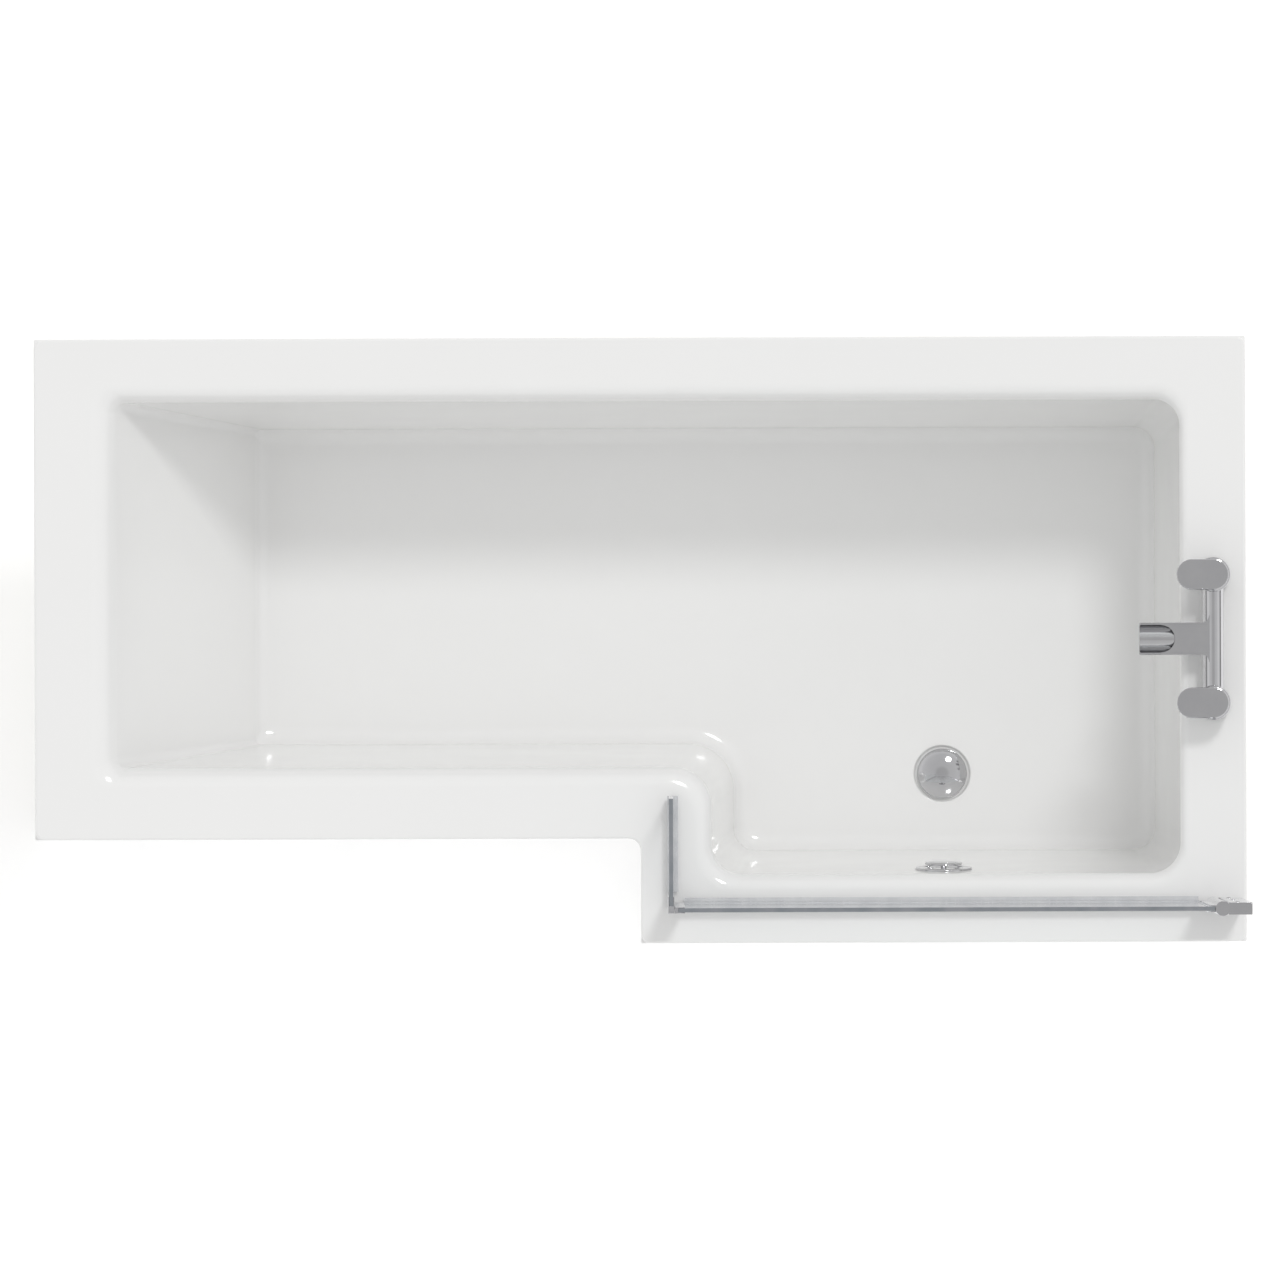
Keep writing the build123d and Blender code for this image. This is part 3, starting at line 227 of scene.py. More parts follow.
def shaped(name, bm, finishes, angle=35.0, recalculate=True):
    """Makes a mesh object of finished geometry with smooth shading, sharp only at real corners."""
    bmesh.ops.remove_doubles(bm, verts=bm.verts, dist=2e-6)
    if recalculate:
        bmesh.ops.recalc_face_normals(bm, faces=bm.faces)
    mesh = bpy.data.meshes.new(name)
    bm.to_mesh(mesh)
    bm.free()
    for finish in finishes:
        mesh.materials.append(finish)
    mesh.shade_smooth()
    mesh.set_sharp_from_angle(angle=radians(angle))
    piece = bpy.data.objects.new(name, mesh)
    bpy.context.scene.collection.objects.link(piece)
    return piece


def evened(piece):
    """Keeps large flat faces flat in shading beside their rounded edges."""
    even = piece.modifiers.new("even_normals", "WEIGHTED_NORMAL")
    even.keep_sharp = True
    even.weight = 90
    return piece


def placed(piece, body, slot, *replaced):
    """Fixes a finished piece to its body and hides the plain solid it stands for."""
    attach(piece, body)
    if replaced:
        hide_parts(*replaced)
    return piece


bath_length, bath_width = 1.700, 0.850
narrow_width, shower_length = 0.703, 0.850
narrow_edge = bath_width / 2 - narrow_width
step_edge = bath_length / 2 - shower_length
shell_wall = 0.006
basin_depth = 0.400
floor_fillet = 0.025
# one row for each side, in order round the basin:
# ledge to the wall's line, lean of the wall, radius of the rim's roll
basin_sides = (
    (0.103, 27.8, 0.0464),
    (0.087, 5.9, 0.0245),
    (0.092, 5.0, 0.0140),
    (0.095, 5.0, 0.0230),
    (0.098, 5.0, 0.0240),
    (0.099, 5.0, 0.0290),
)
# corner radii at the rim's flat edge, at the wall's top, at its foot and on the floor
corner_stages = (
    (0.030, 0.043, 0.049, 0.049, 0.050, 0.030),
    (0.016, 0.036, 0.042, 0.042, 0.056, 0.016),
    (0.010, 0.030, 0.032, 0.032, 0.064, 0.010),
    (0.018, 0.018, 0.020, 0.020, 0.080, 0.018),
)
arc_steps = 14


def l_ring(insets, heights, radii):
    """Points of one closed line round the L plan, each side with its own inset and height."""
    left, right = -bath_length / 2 + insets[0], bath_length / 2 - insets[2]
    rear, near = bath_width / 2 - insets[1], -bath_width / 2 + insets[3]
    step_x, side_y = step_edge + insets[4], narrow_edge + insets[5]
    corners = (
        (left + radii[0], rear - radii[0], 180, -90, 0, 1),
        (right - radii[1], rear - radii[1], 90, -90, 1, 2),
        (right - radii[2], near + radii[2], 0, -90, 2, 3),
        (step_x + radii[3], near + radii[3], -90, -90, 3, 4),
        (step_x - radii[4], side_y - radii[4], 0, 90, 4, 5),
        (left + radii[5], side_y + radii[5], -90, -90, 5, 0),
    )
    points = []
    for index, (x, y, start, sweep, before, after) in enumerate(corners):
        for step in range(arc_steps + 1):
            part = step / arc_steps
            turn = radians(start + sweep * part)
            blend = part * part * (3 - 2 * part)
            height = heights[before] * (1 - blend) + heights[after] * blend
            points.append(Vector((x + radii[index] * cos(turn), y + radii[index] * sin(turn), height)))
    return points


def basin_rows(growth):
    """Rings from the rim's flat edge down to the floor; growth moves them out through the wall's thickness."""
    rows = []
    for stage, steps in ((0, 12), (1, 14), (2, 8)):
        for step in range(steps + (stage == 2)):
            part = step / steps
            insets, heights = [], []
            for ledge, lean, roll in basin_sides:
                lean = radians(lean)
                turn = pi / 2 - lean
                if stage == 0:
                    centre = ledge - roll * tan(turn / 2)
                    insets.append(centre + (roll - growth) * sin(turn * part))
                    heights.append(rim_height - roll + (roll - growth) * cos(turn * part))
                    continue
                foot = basin_depth - floor_fillet * (1 - sin(lean))
                foot_centre = ledge + foot * tan(lean) + floor_fillet * cos(lean)
                if stage == 2:
                    bend = lean + turn * part
                    insets.append(foot_centre - (floor_fillet + growth) * cos(bend))
                    heights.append(rim_height - basin_depth + floor_fillet - (floor_fillet + growth) * sin(bend))
                    continue
                top = roll * (1 - cos(turn))
                depth = top + (foot - top) * part
                insets.append(ledge + depth * tan(lean) - growth * cos(lean))
                heights.append(rim_height - depth - growth * sin(lean))
            radii = [
                upper * (1 - part) + lower * part + (-growth if corner == 4 else growth)
                for corner, (upper, lower) in enumerate(zip(corner_stages[stage], corner_stages[stage + 1]))
            ]
            rows.append(l_ring(insets, heights, radii))
    return rows


def even_ring(inset, height, corner, notch):
    """A ring at one inset all round the bath's outline."""
    return l_ring([inset] * 6, [height] * 6, [corner, corner, corner, corner, notch, corner])


def bridged(bm, upper, lower, closed=True, finish=0):
    """Faces between two rings of vertices."""
    count = len(upper)
    for index in range(count if closed else count - 1):
        after = (index + 1) % count
        face = bm.faces.new((upper[index], upper[after], lower[after], lower[index]))
        face.material_index = finish


lip_bottom = rim_height - 0.038
edge_round = 0.004
outer_rows = [
    even_ring(0.0, lip_bottom, 0.002, 0.018),
    even_ring(0.0, lip_bottom + 0.0034, 0.002, 0.018),
    even_ring(0.0004, lip_bottom + 0.004, 0.002, 0.018),
    even_ring(0.0004, lip_bottom + 0.0041, 0.013, 0.018),
    even_ring(0.0, lip_bottom + 0.005, 0.013, 0.018),
]
for step in range(7):
    turn = pi / 2 * step / 6
    inward = edge_round * (1 - cos(turn))
    outer_rows.append(even_ring(inward, rim_height - edge_round * (1 - sin(turn)), 0.013 - inward, 0.018 + inward))
under_rows = [
    even_ring(shell_wall, lip_bottom, 0.007, 0.024),
    even_ring(shell_wall, rim_height - 0.012, 0.007, 0.024),
    even_ring(shell_wall + 0.002, rim_height - 0.008, 0.007, 0.026),
    even_ring(shell_wall + 0.006, rim_height - shell_wall, 0.007, 0.030),
]
waste_centre = (0.425, -0.189)
circle_steps = 64


def circle_at(bm, radius, height):
    """A ring of vertices round the waste."""
    return [
        bm.verts.new((
            waste_centre[0] + radius * cos(2 * pi * step / circle_steps),
            waste_centre[1] + radius * sin(2 * pi * step / circle_steps),
            height,
        ))
        for step in range(circle_steps)
    ]


def filled(bm, outer, hole, finish):
    """Flat faces between a closed outline and a round hole in it."""
    edges = []
    for ring in (outer, hole):
        for index, vertex in enumerate(ring):
            following = ring[(index + 1) % len(ring)]
            edges.append(bm.edges.get((vertex, following)) or bm.edges.new((vertex, following)))
    for item in bmesh.ops.triangle_fill(bm, edges=edges, use_beauty=True, use_dissolve=False)["geom"]:
        if isinstance(item, bmesh.types.BMFace):
            item.material_index = finish


shell = bmesh.new()
visible = [[shell.verts.new(point) for point in row] for row in outer_rows + basin_rows(0.0)]
hidden = [[shell.verts.new(point) for point in row] for row in under_rows + basin_rows(shell_wall)]
for upper, lower in zip(visible, visible[1:]):
    bridged(shell, upper, lower)
for upper, lower in zip(hidden, hidden[1:]):
    bridged(shell, upper, lower, finish=1)
bridged(shell, visible[0], hidden[0])
floor_z = rim_height - basin_depth
recess_profile = (
    (0.0415, floor_z), (0.0405, floor_z - 0.0003), (0.0394, floor_z - 0.0012), (0.0386, floor_z - 0.0030),
    (0.0378, floor_z - 0.0041), (0.0366, floor_z - 0.0045), (0.0240, floor_z - 0.0045),
)
recess = [circle_at(shell, radius, height) for radius, height in recess_profile]
boss = [circle_at(shell, 0.024, floor_z - 0.0105), circle_at(shell, 0.044, floor_z - 0.0105),
        circle_at(shell, 0.044, floor_z - shell_wall)]
for upper, lower in zip(recess, recess[1:]):
    bridged(shell, upper, lower)
for upper, lower in zip([recess[-1]] + boss, boss):
    bridged(shell, upper, lower, finish=1)
filled(shell, visible[-1], recess[0], 0)
filled(shell, hidden[-1], boss[-1], 1)
bath_skin = shaped("bath_skin", shell, (acrylic, resin), angle=40)
placed(evened(bath_skin), "bath", "acrylic", "bath_shell")

# Click waste: a domed plug of polished chromed brass on its stem, over a chromed ring set in the floor's recess.
# The plug is turned and buffed bright; the ring, its tube and the sprung cartridge are plated or plain brass.
chrome = finish_of(
    "polished_chrome", (0.60, 0.60, 0.61), (0.57, 0.57, 0.585), (0.035, 0.07), 30.0, 260.0, 0.000004, metal=1.0
)
brass = finish_of(
    "machined_brass", (0.72, 0.56, 0.27), (0.60, 0.45, 0.21), (0.22, 0.38), 60.0, 900.0, 0.00003, (1, 1, 6), 1.0
)
rubber = finish_of(
    "black_rubber", (0.028, 0.028, 0.028), (0.05, 0.05, 0.05), (0.62, 0.8), 80.0, 1400.0, 0.00006
)


def turned(bm, profile, origin=(0, 0, 0), axis=(0, 0, 1), segments=72, closed=False):
    """Turns a profile of (radius, height) points about an axis, as on a lathe."""
    lift = Vector(axis).to_track_quat("Z", "Y").to_matrix()
    rings = []
    for radius, height in profile:
        if radius == 0:
            rings.append([bm.verts.new(Vector(origin) + lift @ Vector((0, 0, height)))] * segments)
            continue
        rings.append([
            bm.verts.new(Vector(origin) + lift @ Vector((
                radius * cos(2 * pi * step / segments), radius * sin(2 * pi * step / segments), height
            )))
            for step in range(segments)
        ])
    pairs = list(zip(rings, rings[1:])) + ([(rings[-1], rings[0])] if closed else [])
    for upper, lower in pairs:
        for index in range(segments):
            after = (index + 1) % segments
            corner = []
            for vertex in (upper[index], upper[after], lower[after], lower[index]):
                if vertex not in corner:
                    corner.append(vertex)
            if len(corner) > 2:
                bm.faces.new(corner)


plug_low, plug_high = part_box("waste_plug")
plug_top = plug_high.z
plug_radius = (plug_high.x - plug_low.x) / 2
plug_base = plug_top - 0.010
dome = [(0.0, plug_top)]
for step in range(1, 25):
    part = step / 24
    dome.append(((plug_radius - 0.0008) * part, plug_base + 0.0022 + 0.0078 * (1 - part ** 2) ** 0.9))
stem_radius = 0.004
dome += [
    (plug_radius - 0.0002, plug_base + 0.0016), (plug_radius, plug_base + 0.0011),
    (plug_radius, plug_base + 0.0004), (plug_radius - 0.0006, plug_base), (stem_radius, plug_base),
    (stem_radius, plug_low.z), (0.0, plug_low.z),
]
plug = bmesh.new()
turned(plug, dome, (*waste_centre, 0), segments=96)
placed(shaped("domed_plug", plug, (chrome,), angle=50), "plug", "chrome", "waste_plug")
for node, finish in (
    ("waste_flange", chrome), ("plug_cartridge", brass), ("plug_seal", rubber), ("waste_top_seal", rubber),
    ("waste_under_seal", rubber),
):
    nodes[node].material_slots[0].material = finish

# Overflow: a chromed plate on the front wall of the shower end with a raised disc that hides the openings.
# Both are pressed brass, plated; the disc's stem is held in the elbow behind the wall.
overflow_lean = radians(5.0)
overflow_axis = Vector((0, cos(overflow_lean), sin(overflow_lean)))
overflow_ledge, overflow_drop = 0.095, 0.085
overflow_seat = Vector((
    waste_centre[0],
    -bath_width / 2 + overflow_ledge + overflow_drop * tan(overflow_lean),
    rim_height - overflow_drop,
))
plate = bmesh.new()
turned(plate, [(0.0, 0.0001), (0.040, 0.0001), (0.040, 0.0014), (0.0394, 0.0024), (0.0382, 0.0029), (0.036, 0.003),
               (0.024, 0.0024), (0.0215, 0.001), (0.019, 0.0006), (0.0, 0.0006)], overflow_seat, overflow_axis)
turned(plate, [(0.0, -0.001), (0.022, -0.001), (0.022, -0.024), (0.0, -0.024)], overflow_seat, overflow_axis)
placed(shaped("overflow_plate", plate, (chrome,), angle=50), "bath", "chrome", "overflow_flange")
disc = bmesh.new()
turned(disc, [
    (0.0, 0.0105), (0.020, 0.0104), (0.0238, 0.0101), (0.0256, 0.0094), (0.0265, 0.0082), (0.0265, 0.0073),
    (0.0260, 0.0070), (0.0040, 0.0070), (0.0040, -0.018), (0.0, -0.018),
], overflow_seat, overflow_axis)
placed(shaped("overflow_disc", disc, (chrome,), angle=50), "bath", "chrome", "overflow_cap")
nodes["overflow_gasket"].material_slots[0].material = rubber

# Bath filler: one chromed brass casting. Two round valve housings stand on the ledge, a round bar joins them,
# and an open trough runs from the bar over the water, its roof scooped away so that the water spreads in a sheet.
tap_x = bath_length / 2 - 0.0464
tap_half = 0.090
housing_foot, housing_top = 0.5515, 0.6055
bar_height, bar_radius = 0.583, 0.015
spout_tip, spout_half = tap_x - 0.104, 0.0225
trough_half = 0.019
spout_top, spout_axis = 0.598, 0.595


def rounded_edge(radius, steps=6):
    """Quarter-circle offsets that round an edge: (inward, downward)."""
    turns = [pi / 2 * step / steps for step in range(steps + 1)]
    return [(radius * (1 - cos(turn)), radius * (1 - sin(turn))) for turn in turns]


body = bmesh.new()
for side in (-1, 1):
    housing = [(0.0, housing_foot), (0.0235, housing_foot), (0.0245, housing_foot + 0.001)]
    housing += [(0.0245 - inward, housing_top - down) for inward, down in rounded_edge(0.004)]
    housing += [(0.018, housing_top), (0.018, housing_top - 0.029), (0.0, housing_top - 0.029)]
    turned(body, housing, (tap_x, side * tap_half, 0), segments=96)
bar_half = tap_half - 0.020
turned(body, [(bar_radius, -bar_half), (bar_radius, bar_half)], (tap_x, 0, bar_height), (0, 1, 0), segments=96)
wall_steps = 28
section = []
for step in range(wall_steps + 1):
    turn = pi * step / wall_steps
    section.append((-spout_half * cos(turn), spout_axis - spout_half * sin(turn)))
lip_round = 0.0008
lip_points = [
    (spout_half, spout_top - lip_round), (spout_half - lip_round, spout_top),
    (trough_half + lip_round, spout_top), (trough_half, spout_top - lip_round),
]
section += lip_points
for step in range(wall_steps + 1):
    turn = pi * (1 - step / wall_steps)
    section.append((-trough_half * cos(turn), spout_axis - trough_half * sin(turn)))
section += [(-y, z) for y, z in reversed(lip_points)]
rings = []
for x in (spout_tip + 0.0007, spout_tip + 0.002, tap_x - 0.008):
    rings.append([body.verts.new((x, y, z)) for y, z in section])
for first, second in zip(rings, rings[1:]):
    bridged(body, first, second)
middle_radius = (spout_half + trough_half) / 2
tip_ring = []
for y, z in section:
    spread = Vector((0, y, min(z, spout_axis) - spout_axis))
    pull = spread.normalized() * (middle_radius - spread.length) * 0.45
    tip_ring.append(body.verts.new((spout_tip, y + pull.y, z + pull.z)))
bridged(body, rings[0], tip_ring)
half_count = wall_steps + 1
outer_tip = tip_ring[:half_count]
inner_tip = list(reversed(tip_ring[half_count + 4:2 * half_count + 4]))
for index in range(wall_steps):
    body.faces.new((outer_tip[index], outer_tip[index + 1], inner_tip[index + 1], inner_tip[index]))
body.faces.new([outer_tip[-1]] + tip_ring[half_count:half_count + 4] + [inner_tip[-1]])
body.faces.new([inner_tip[0]] + tip_ring[2 * half_count + 4:] + [outer_tip[0]])
filler_body = shaped("filler_body", body, (chrome,), angle=38)
placed(evened(filler_body), "bath", "chrome", "tap_body")

# the trough's roof: a flat plate cast into the bar, its front edge scooped in a half circle
roof = bmesh.new()
blend = 0.010
root_x = tap_x - bar_radius * 0.42
scoop_centre = spout_tip + 0.050 - trough_half
outline = []
for step in range(25):
    turn = pi / 2 - pi * step / 24
    outline.append((scoop_centre + trough_half * cos(turn), trough_half * sin(turn)))
outline.append((scoop_centre, -spout_half))
for step in range(11):
    turn = pi / 2 - pi / 2 * step / 10
    outline.append((root_x - blend + blend * cos(turn), -spout_half - blend + blend * sin(turn)))
for step in range(11):
    turn = -pi / 2 * step / 10
    outline.append((root_x - blend + blend * cos(turn), spout_half + blend + blend * sin(turn)))
outline.append((scoop_centre, spout_half))
seen = []
for point in outline:
    if not seen or (Vector(point) - Vector(seen[-1])).length > 1e-5:
        seen.append(point)


def slab(bm, outline, low, high):
    """A flat plate with a given outline."""
    bottom = [bm.verts.new((x, y, low)) for x, y in outline]
    top = [bm.verts.new((x, y, high)) for x, y in outline]
    bm.faces.new(top)
    bm.faces.new(list(reversed(bottom)))
    bridged(bm, top, bottom)


def eased(piece, width, segments=3, angle=30.0):
    """Rounds the sharp edges of a piece by a small radius."""
    ease = piece.modifiers.new("eased_edges", "BEVEL")
    ease.width = width
    ease.segments = segments
    ease.limit_method = "ANGLE"
    ease.angle_limit = radians(angle)
    return piece


slab(roof, seen, spout_axis - 0.0004, spout_top - 0.00005)
spout_roof = eased(shaped("spout_roof", roof, (chrome,), angle=38), 0.0006)
placed(evened(spout_roof), "bath", "chrome", "tap_body")

# Levers: flat pill-shaped paddles die-cast in zinc and chromed, each on a brass spindle, held by a grub screw.
# The hot one turns on the bather's left, and both lie towards the basin when shut.
lever_low, lever_high = 0.6075, 0.6165
lever_radius = 0.0215
lever_shift = 0.030
for warmth, side, lever_body in (("hot", 1, "hot_lever"), ("cold", -1, "cold_lever")):
    centre_y = side * tap_half
    rows = [(0.0012, lever_low), (0.0004, lever_low + 0.0003), (0.0, lever_low + 0.001)]
    rows += [(inward, lever_high - down) for inward, down in rounded_edge(0.0014, 5)]
    lever = bmesh.new()
    stacked = []
    for inward, height in rows:
        ring = []
        for end_x, start in ((tap_x, -90), (tap_x - lever_shift, 90)):
            for step in range(33):
                turn = radians(start + 180 * step / 32)
                radius = lever_radius - inward
                ring.append(lever.verts.new((end_x + radius * cos(turn), centre_y + radius * sin(turn), height)))
        stacked.append(ring)
    for lower, upper in zip(stacked, stacked[1:]):
        bridged(lever, upper, lower)
    lever.faces.new(stacked[-1])
    lever.faces.new(list(reversed(stacked[0])))
    collar_top, collar_foot = lever_low + 0.0002, housing_top + 0.0004
    collar = [(0.0, collar_top), (0.016, collar_top), (0.016, collar_foot), (0.0, collar_foot)]
    turned(lever, collar, (tap_x, centre_y, 0))
    paddle = shaped(f"paddle_{warmth}", lever, (chrome,), angle=38)
    placed(evened(paddle), lever_body, "chrome", f"tap_lever_{warmth}")
    nodes[f"tap_spindle_{warmth}"].material_slots[0].material = brass

zinc = finish_of(
    "zinc_plate", (0.58, 0.59, 0.60), (0.46, 0.47, 0.49), (0.25, 0.42), 90.0, 700.0, 0.00002, metal=1.0
)
for node, finish in (
    ("tap_tails", brass), ("tap_cartridges", brass), ("tap_seals", rubber), ("tap_grub_screw_hot", zinc),
    ("tap_grub_screw_cold", zinc), ("plug_spring", zinc),
):
    nodes[node].material_slots[0].material = finish

# Wall channel and hinge housing: bright anodised aluminium extrusions. The channel is screwed to the wall, the
# housing slides in it to suit the wall, and three small screws through the channel's side fix the two together.
bright = finish_of(
    "bright_anodised", (0.64, 0.64, 0.66), (0.58, 0.58, 0.60), (0.12, 0.22), 60.0, 900.0, 0.000006,
    (1, 1, 0.02), 1.0,
)


def softened(name, node, body, slot, finish, ease=0.0003, angle=35.0):
    """A merged, smooth-shaded copy of a plain solid with its hard edges eased."""
    copy = bmesh.new()
    copy.from_mesh(nodes[node].data)
    bmesh.ops.remove_doubles(copy, verts=copy.verts, dist=1e-5)
    bmesh.ops.dissolve_limit(copy, angle_limit=radians(0.3), verts=copy.verts, edges=copy.edges)
    piece = shaped(name, copy, (finish,), angle, recalculate=False)
    if ease:
        eased(piece, ease, 2, 40.0)
    return placed(evened(piece), body, slot, node)


softened("channel_extrusion", "wall_channel", "bath", "bright_aluminium", bright)
softened("housing_extrusion", "hinge_housing", "bath", "bright_aluminium", bright)
softened("upper_cap", "hinge_top_cap", "bath", "chrome", chrome, 0.0006)
softened("lower_cap", "hinge_bottom_cap", "bath", "chrome", chrome, 0.0006)


def geometry_tree(name, sizes):
    """An empty geometry tree with named inputs for a piece's sizes."""
    tree = bpy.data.node_groups.new(name, "GeometryNodeTree")
    tree.interface.new_socket("Geometry", in_out="INPUT", socket_type="NodeSocketGeometry")
    for label, kind, start in sizes:
        socket = tree.interface.new_socket(label, in_out="INPUT", socket_type=kind)
        if start is not None:
            socket.default_value = start
    tree.interface.new_socket("Geometry", in_out="OUTPUT", socket_type="NodeSocketGeometry")
    return tree, tree.nodes.new("NodeGroupInput"), tree.nodes.new("NodeGroupOutput")


def closed_tree(tree, values, result, geometry):
    """Ends a tree: its copies made real and given their finish."""
    real = tree.nodes.new("GeometryNodeRealizeInstances")
    coat = tree.nodes.new("GeometryNodeSetMaterial")
    tree.links.new(geometry, real.inputs["Geometry"])
    tree.links.new(real.outputs["Geometry"], coat.inputs["Geometry"])
    tree.links.new(values.outputs["Material"], coat.inputs["Material"])
    tree.links.new(coat.outputs["Geometry"], result.inputs["Geometry"])


def copies_tree():
    """One piece copied on to points, each copy turned by the point's own angles."""
    tree, values, result = geometry_tree(
        "copies_on_points", (("Piece", "NodeSocketObject", None), ("Material", "NodeSocketMaterial", None))
    )
    source = tree.nodes.new("GeometryNodeObjectInfo")
    turn = tree.nodes.new("GeometryNodeInputNamedAttribute")
    turn.data_type = "FLOAT_VECTOR"
    turn.inputs["Name"].default_value = "turn"
    copies = tree.nodes.new("GeometryNodeInstanceOnPoints")
    tree.links.new(values.outputs["Piece"], source.inputs["Object"])
    tree.links.new(values.outputs["Geometry"], copies.inputs["Points"])
    tree.links.new(source.outputs["Geometry"], copies.inputs["Instance"])
    tree.links.new(turn.outputs["Attribute"], copies.inputs["Rotation"])
    closed_tree(tree, values, result, copies.outputs["Instances"])
    return tree


def points_mesh(points, turns=None, joined=False):
    """A carrier of loose points, or of one joined line, with an angle for each point."""
    mesh = bpy.data.meshes.new("carrier")
    edges = [(index, index + 1) for index in range(len(points) - 1)] if joined else []
    mesh.from_pydata([tuple(point) for point in points], edges, [])
    angles = mesh.attributes.new("turn", "FLOAT_VECTOR", "POINT")
    for index, turn in enumerate(turns or [(0, 0, 0)] * len(points)):
        angles.data[index].vector = turn
    return mesh


def grown(name, carrier_mesh, tree, sizes, angle=35.0):
    """Runs a geometry tree on a carrier and keeps its result as a plain mesh object."""
    carrier = bpy.data.objects.new("carrier", carrier_mesh)
    bpy.context.scene.collection.objects.link(carrier)
    growth = carrier.modifiers.new("growth", "NODES")
    growth.node_group = tree
    for item in tree.interface.items_tree:
        if item.item_type == "SOCKET" and item.in_out == "INPUT" and item.name in sizes:
            growth[item.identifier] = sizes[item.name]
    bpy.context.view_layer.update()
    mesh = bpy.data.meshes.new_from_object(carrier.evaluated_get(bpy.context.evaluated_depsgraph_get()))
    bpy.data.objects.remove(carrier)
    mesh.name = name
    mesh.shade_smooth()
    mesh.set_sharp_from_angle(angle=radians(angle))
    piece = bpy.data.objects.new(name, mesh)
    bpy.context.scene.collection.objects.link(piece)
    return piece


copies_on_points = copies_tree()


def pattern_piece(bm, name):
    """A single small piece to be copied, kept out of the scene itself."""
    bmesh.ops.remove_doubles(bm, verts=bm.verts, dist=2e-6)
    bmesh.ops.recalc_face_normals(bm, faces=bm.faces)
    mesh = bpy.data.meshes.new(name)
    bm.to_mesh(mesh)
    bm.free()
    return bpy.data.objects.new(name, mesh)


def recessed_screw(head_radius, head_height, shank_radius, shank_length):
    """A round-headed screw with a recess, its head towards -Z and its shank towards +Z."""
    screw = bmesh.new()
    recess = -head_height * 0.62
    profile = [(0.0, recess), (head_radius * 0.18, recess), (head_radius * 0.2, -head_height * 0.97)]
    for step in range(1, 9):
        part = step / 8
        profile.append((head_radius * (0.2 + 0.8 * sin(part * pi / 2)), -head_height * cos(part * pi / 2) * 0.97))
    profile += [(shank_radius, 0.0), (shank_radius, shank_length - shank_radius), (0.0, shank_length)]
    turned(screw, profile, segments=28)
    return pattern_piece(screw, "screw")


screws_low, screws_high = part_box("hinge_screws")
screw_levels = [screws_low.z + 0.004, (screws_low.z + screws_high.z) / 2, screws_high.z - 0.004]
screw_x = (screws_low.x + screws_high.x) / 2
side_screw = recessed_screw(0.004, 0.0018, 0.002, 0.0048)
screw_points = [(screw_x, screws_high.y - 0.0018, level) for level in screw_levels]
channel_screws = grown(
    "channel_screws", points_mesh(screw_points, [(radians(90), 0, 0)] * 3), copies_on_points,
    {"Piece": side_screw, "Material": chrome},
)
placed(channel_screws, "bath", "chrome", "hinge_screws")

# Hinge post: a bright aluminium tube with two jaws drawn in one section. It turns on the pins of the end caps,
# and a clear strip pushed in between jaws and glass holds the pane and keeps the water in.
softened("post_extrusion", "hinge_post", "screen", "bright_aluminium", bright, 0.0002)
clear = finish_of(
    "clear_strip", (0.80, 0.81, 0.83), (0.72, 0.73, 0.76), (0.16, 0.30), 50.0, 500.0, 0.00002, (1, 1, 0.1)
)
clear_shader = shader_of(clear)
clear_shader.inputs["Alpha"].default_value = 0.62
clear_shader.inputs["IOR"].default_value = 1.52
softened("glazing_strip", "glazing_gasket", "screen", "clear_seal", clear, 0.0)

# Glass: two panes of 6 mm toughened glass with ground and polished edges, one long, one short at a right angle.
# The faces are clear with a faint cold tint; the edges look grey because light runs along inside the pane.
glass = bpy.data.materials.new("clear_glass")
glass.use_nodes = True
glass_tree = glass.node_tree
glass_shader = glass_tree.nodes["Principled BSDF"]
glass_shader.inputs["Base Color"].default_value = (0.965, 0.985, 0.98, 1)
glass_shader.inputs["Roughness"].default_value = 0.0
glass_shader.inputs["IOR"].default_value = 1.5
glass_shader.inputs["Transmission Weight"].default_value = 1.0
glass_light = glass_tree.nodes.new("ShaderNodeLightPath")
glass_clear = glass_tree.nodes.new("ShaderNodeBsdfTransparent")
glass_clear.inputs["Color"].default_value = (0.97, 0.98, 0.98, 1)
glass_either = glass_tree.nodes.new("ShaderNodeMixShader")
glass_any = glass_tree.nodes.new("ShaderNodeMath")
glass_any.operation = "MAXIMUM"
glass_tree.links.new(glass_light.outputs["Is Shadow Ray"], glass_any.inputs[0])
glass_tree.links.new(glass_light.outputs["Is Diffuse Ray"], glass_any.inputs[1])
glass_tree.links.new(glass_any.outputs[0], glass_either.inputs[0])
glass_tree.links.new(glass_shader.outputs["BSDF"], glass_either.inputs[1])
glass_tree.links.new(glass_clear.outputs["BSDF"], glass_either.inputs[2])
glass_tree.links.new(glass_either.outputs["Shader"], glass_tree.nodes["Material Output"].inputs["Surface"])
# The grey of the edges is painted: it stands in for the light that runs along inside the pane.
glass_edge = finish_of(
    "polished_glass_edge", (0.26, 0.27, 0.29), (0.20, 0.22, 0.24), (0.08, 0.16), 30.0, 500.0, 0.00001
)
shader_of(glass_edge).inputs["Coat Weight"].default_value = 0.5
for name, node, across in (("long_pane", "main_glass", 1), ("short_pane", "return_glass", 0)):
    low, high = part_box(node)
    pane = bmesh.new()
    bmesh.ops.create_cube(pane, size=1.0)
    size = high - low
    for vertex in pane.verts:
        vertex.co = Vector([low[axis] + size[axis] * (vertex.co[axis] + 0.5) for axis in range(3)])
    bmesh.ops.bevel(pane, geom=list(pane.edges), offset=0.0007, segments=2, affect="EDGES", profile=0.5)
    for face in pane.faces:
        face.normal_update()
        face.material_index = 0 if abs(face.normal[across]) > 0.99 and face.calc_area() > 0.05 else 1
    placed(shaped(name, pane, (glass, glass_edge), angle=8), "screen", "glass", node)

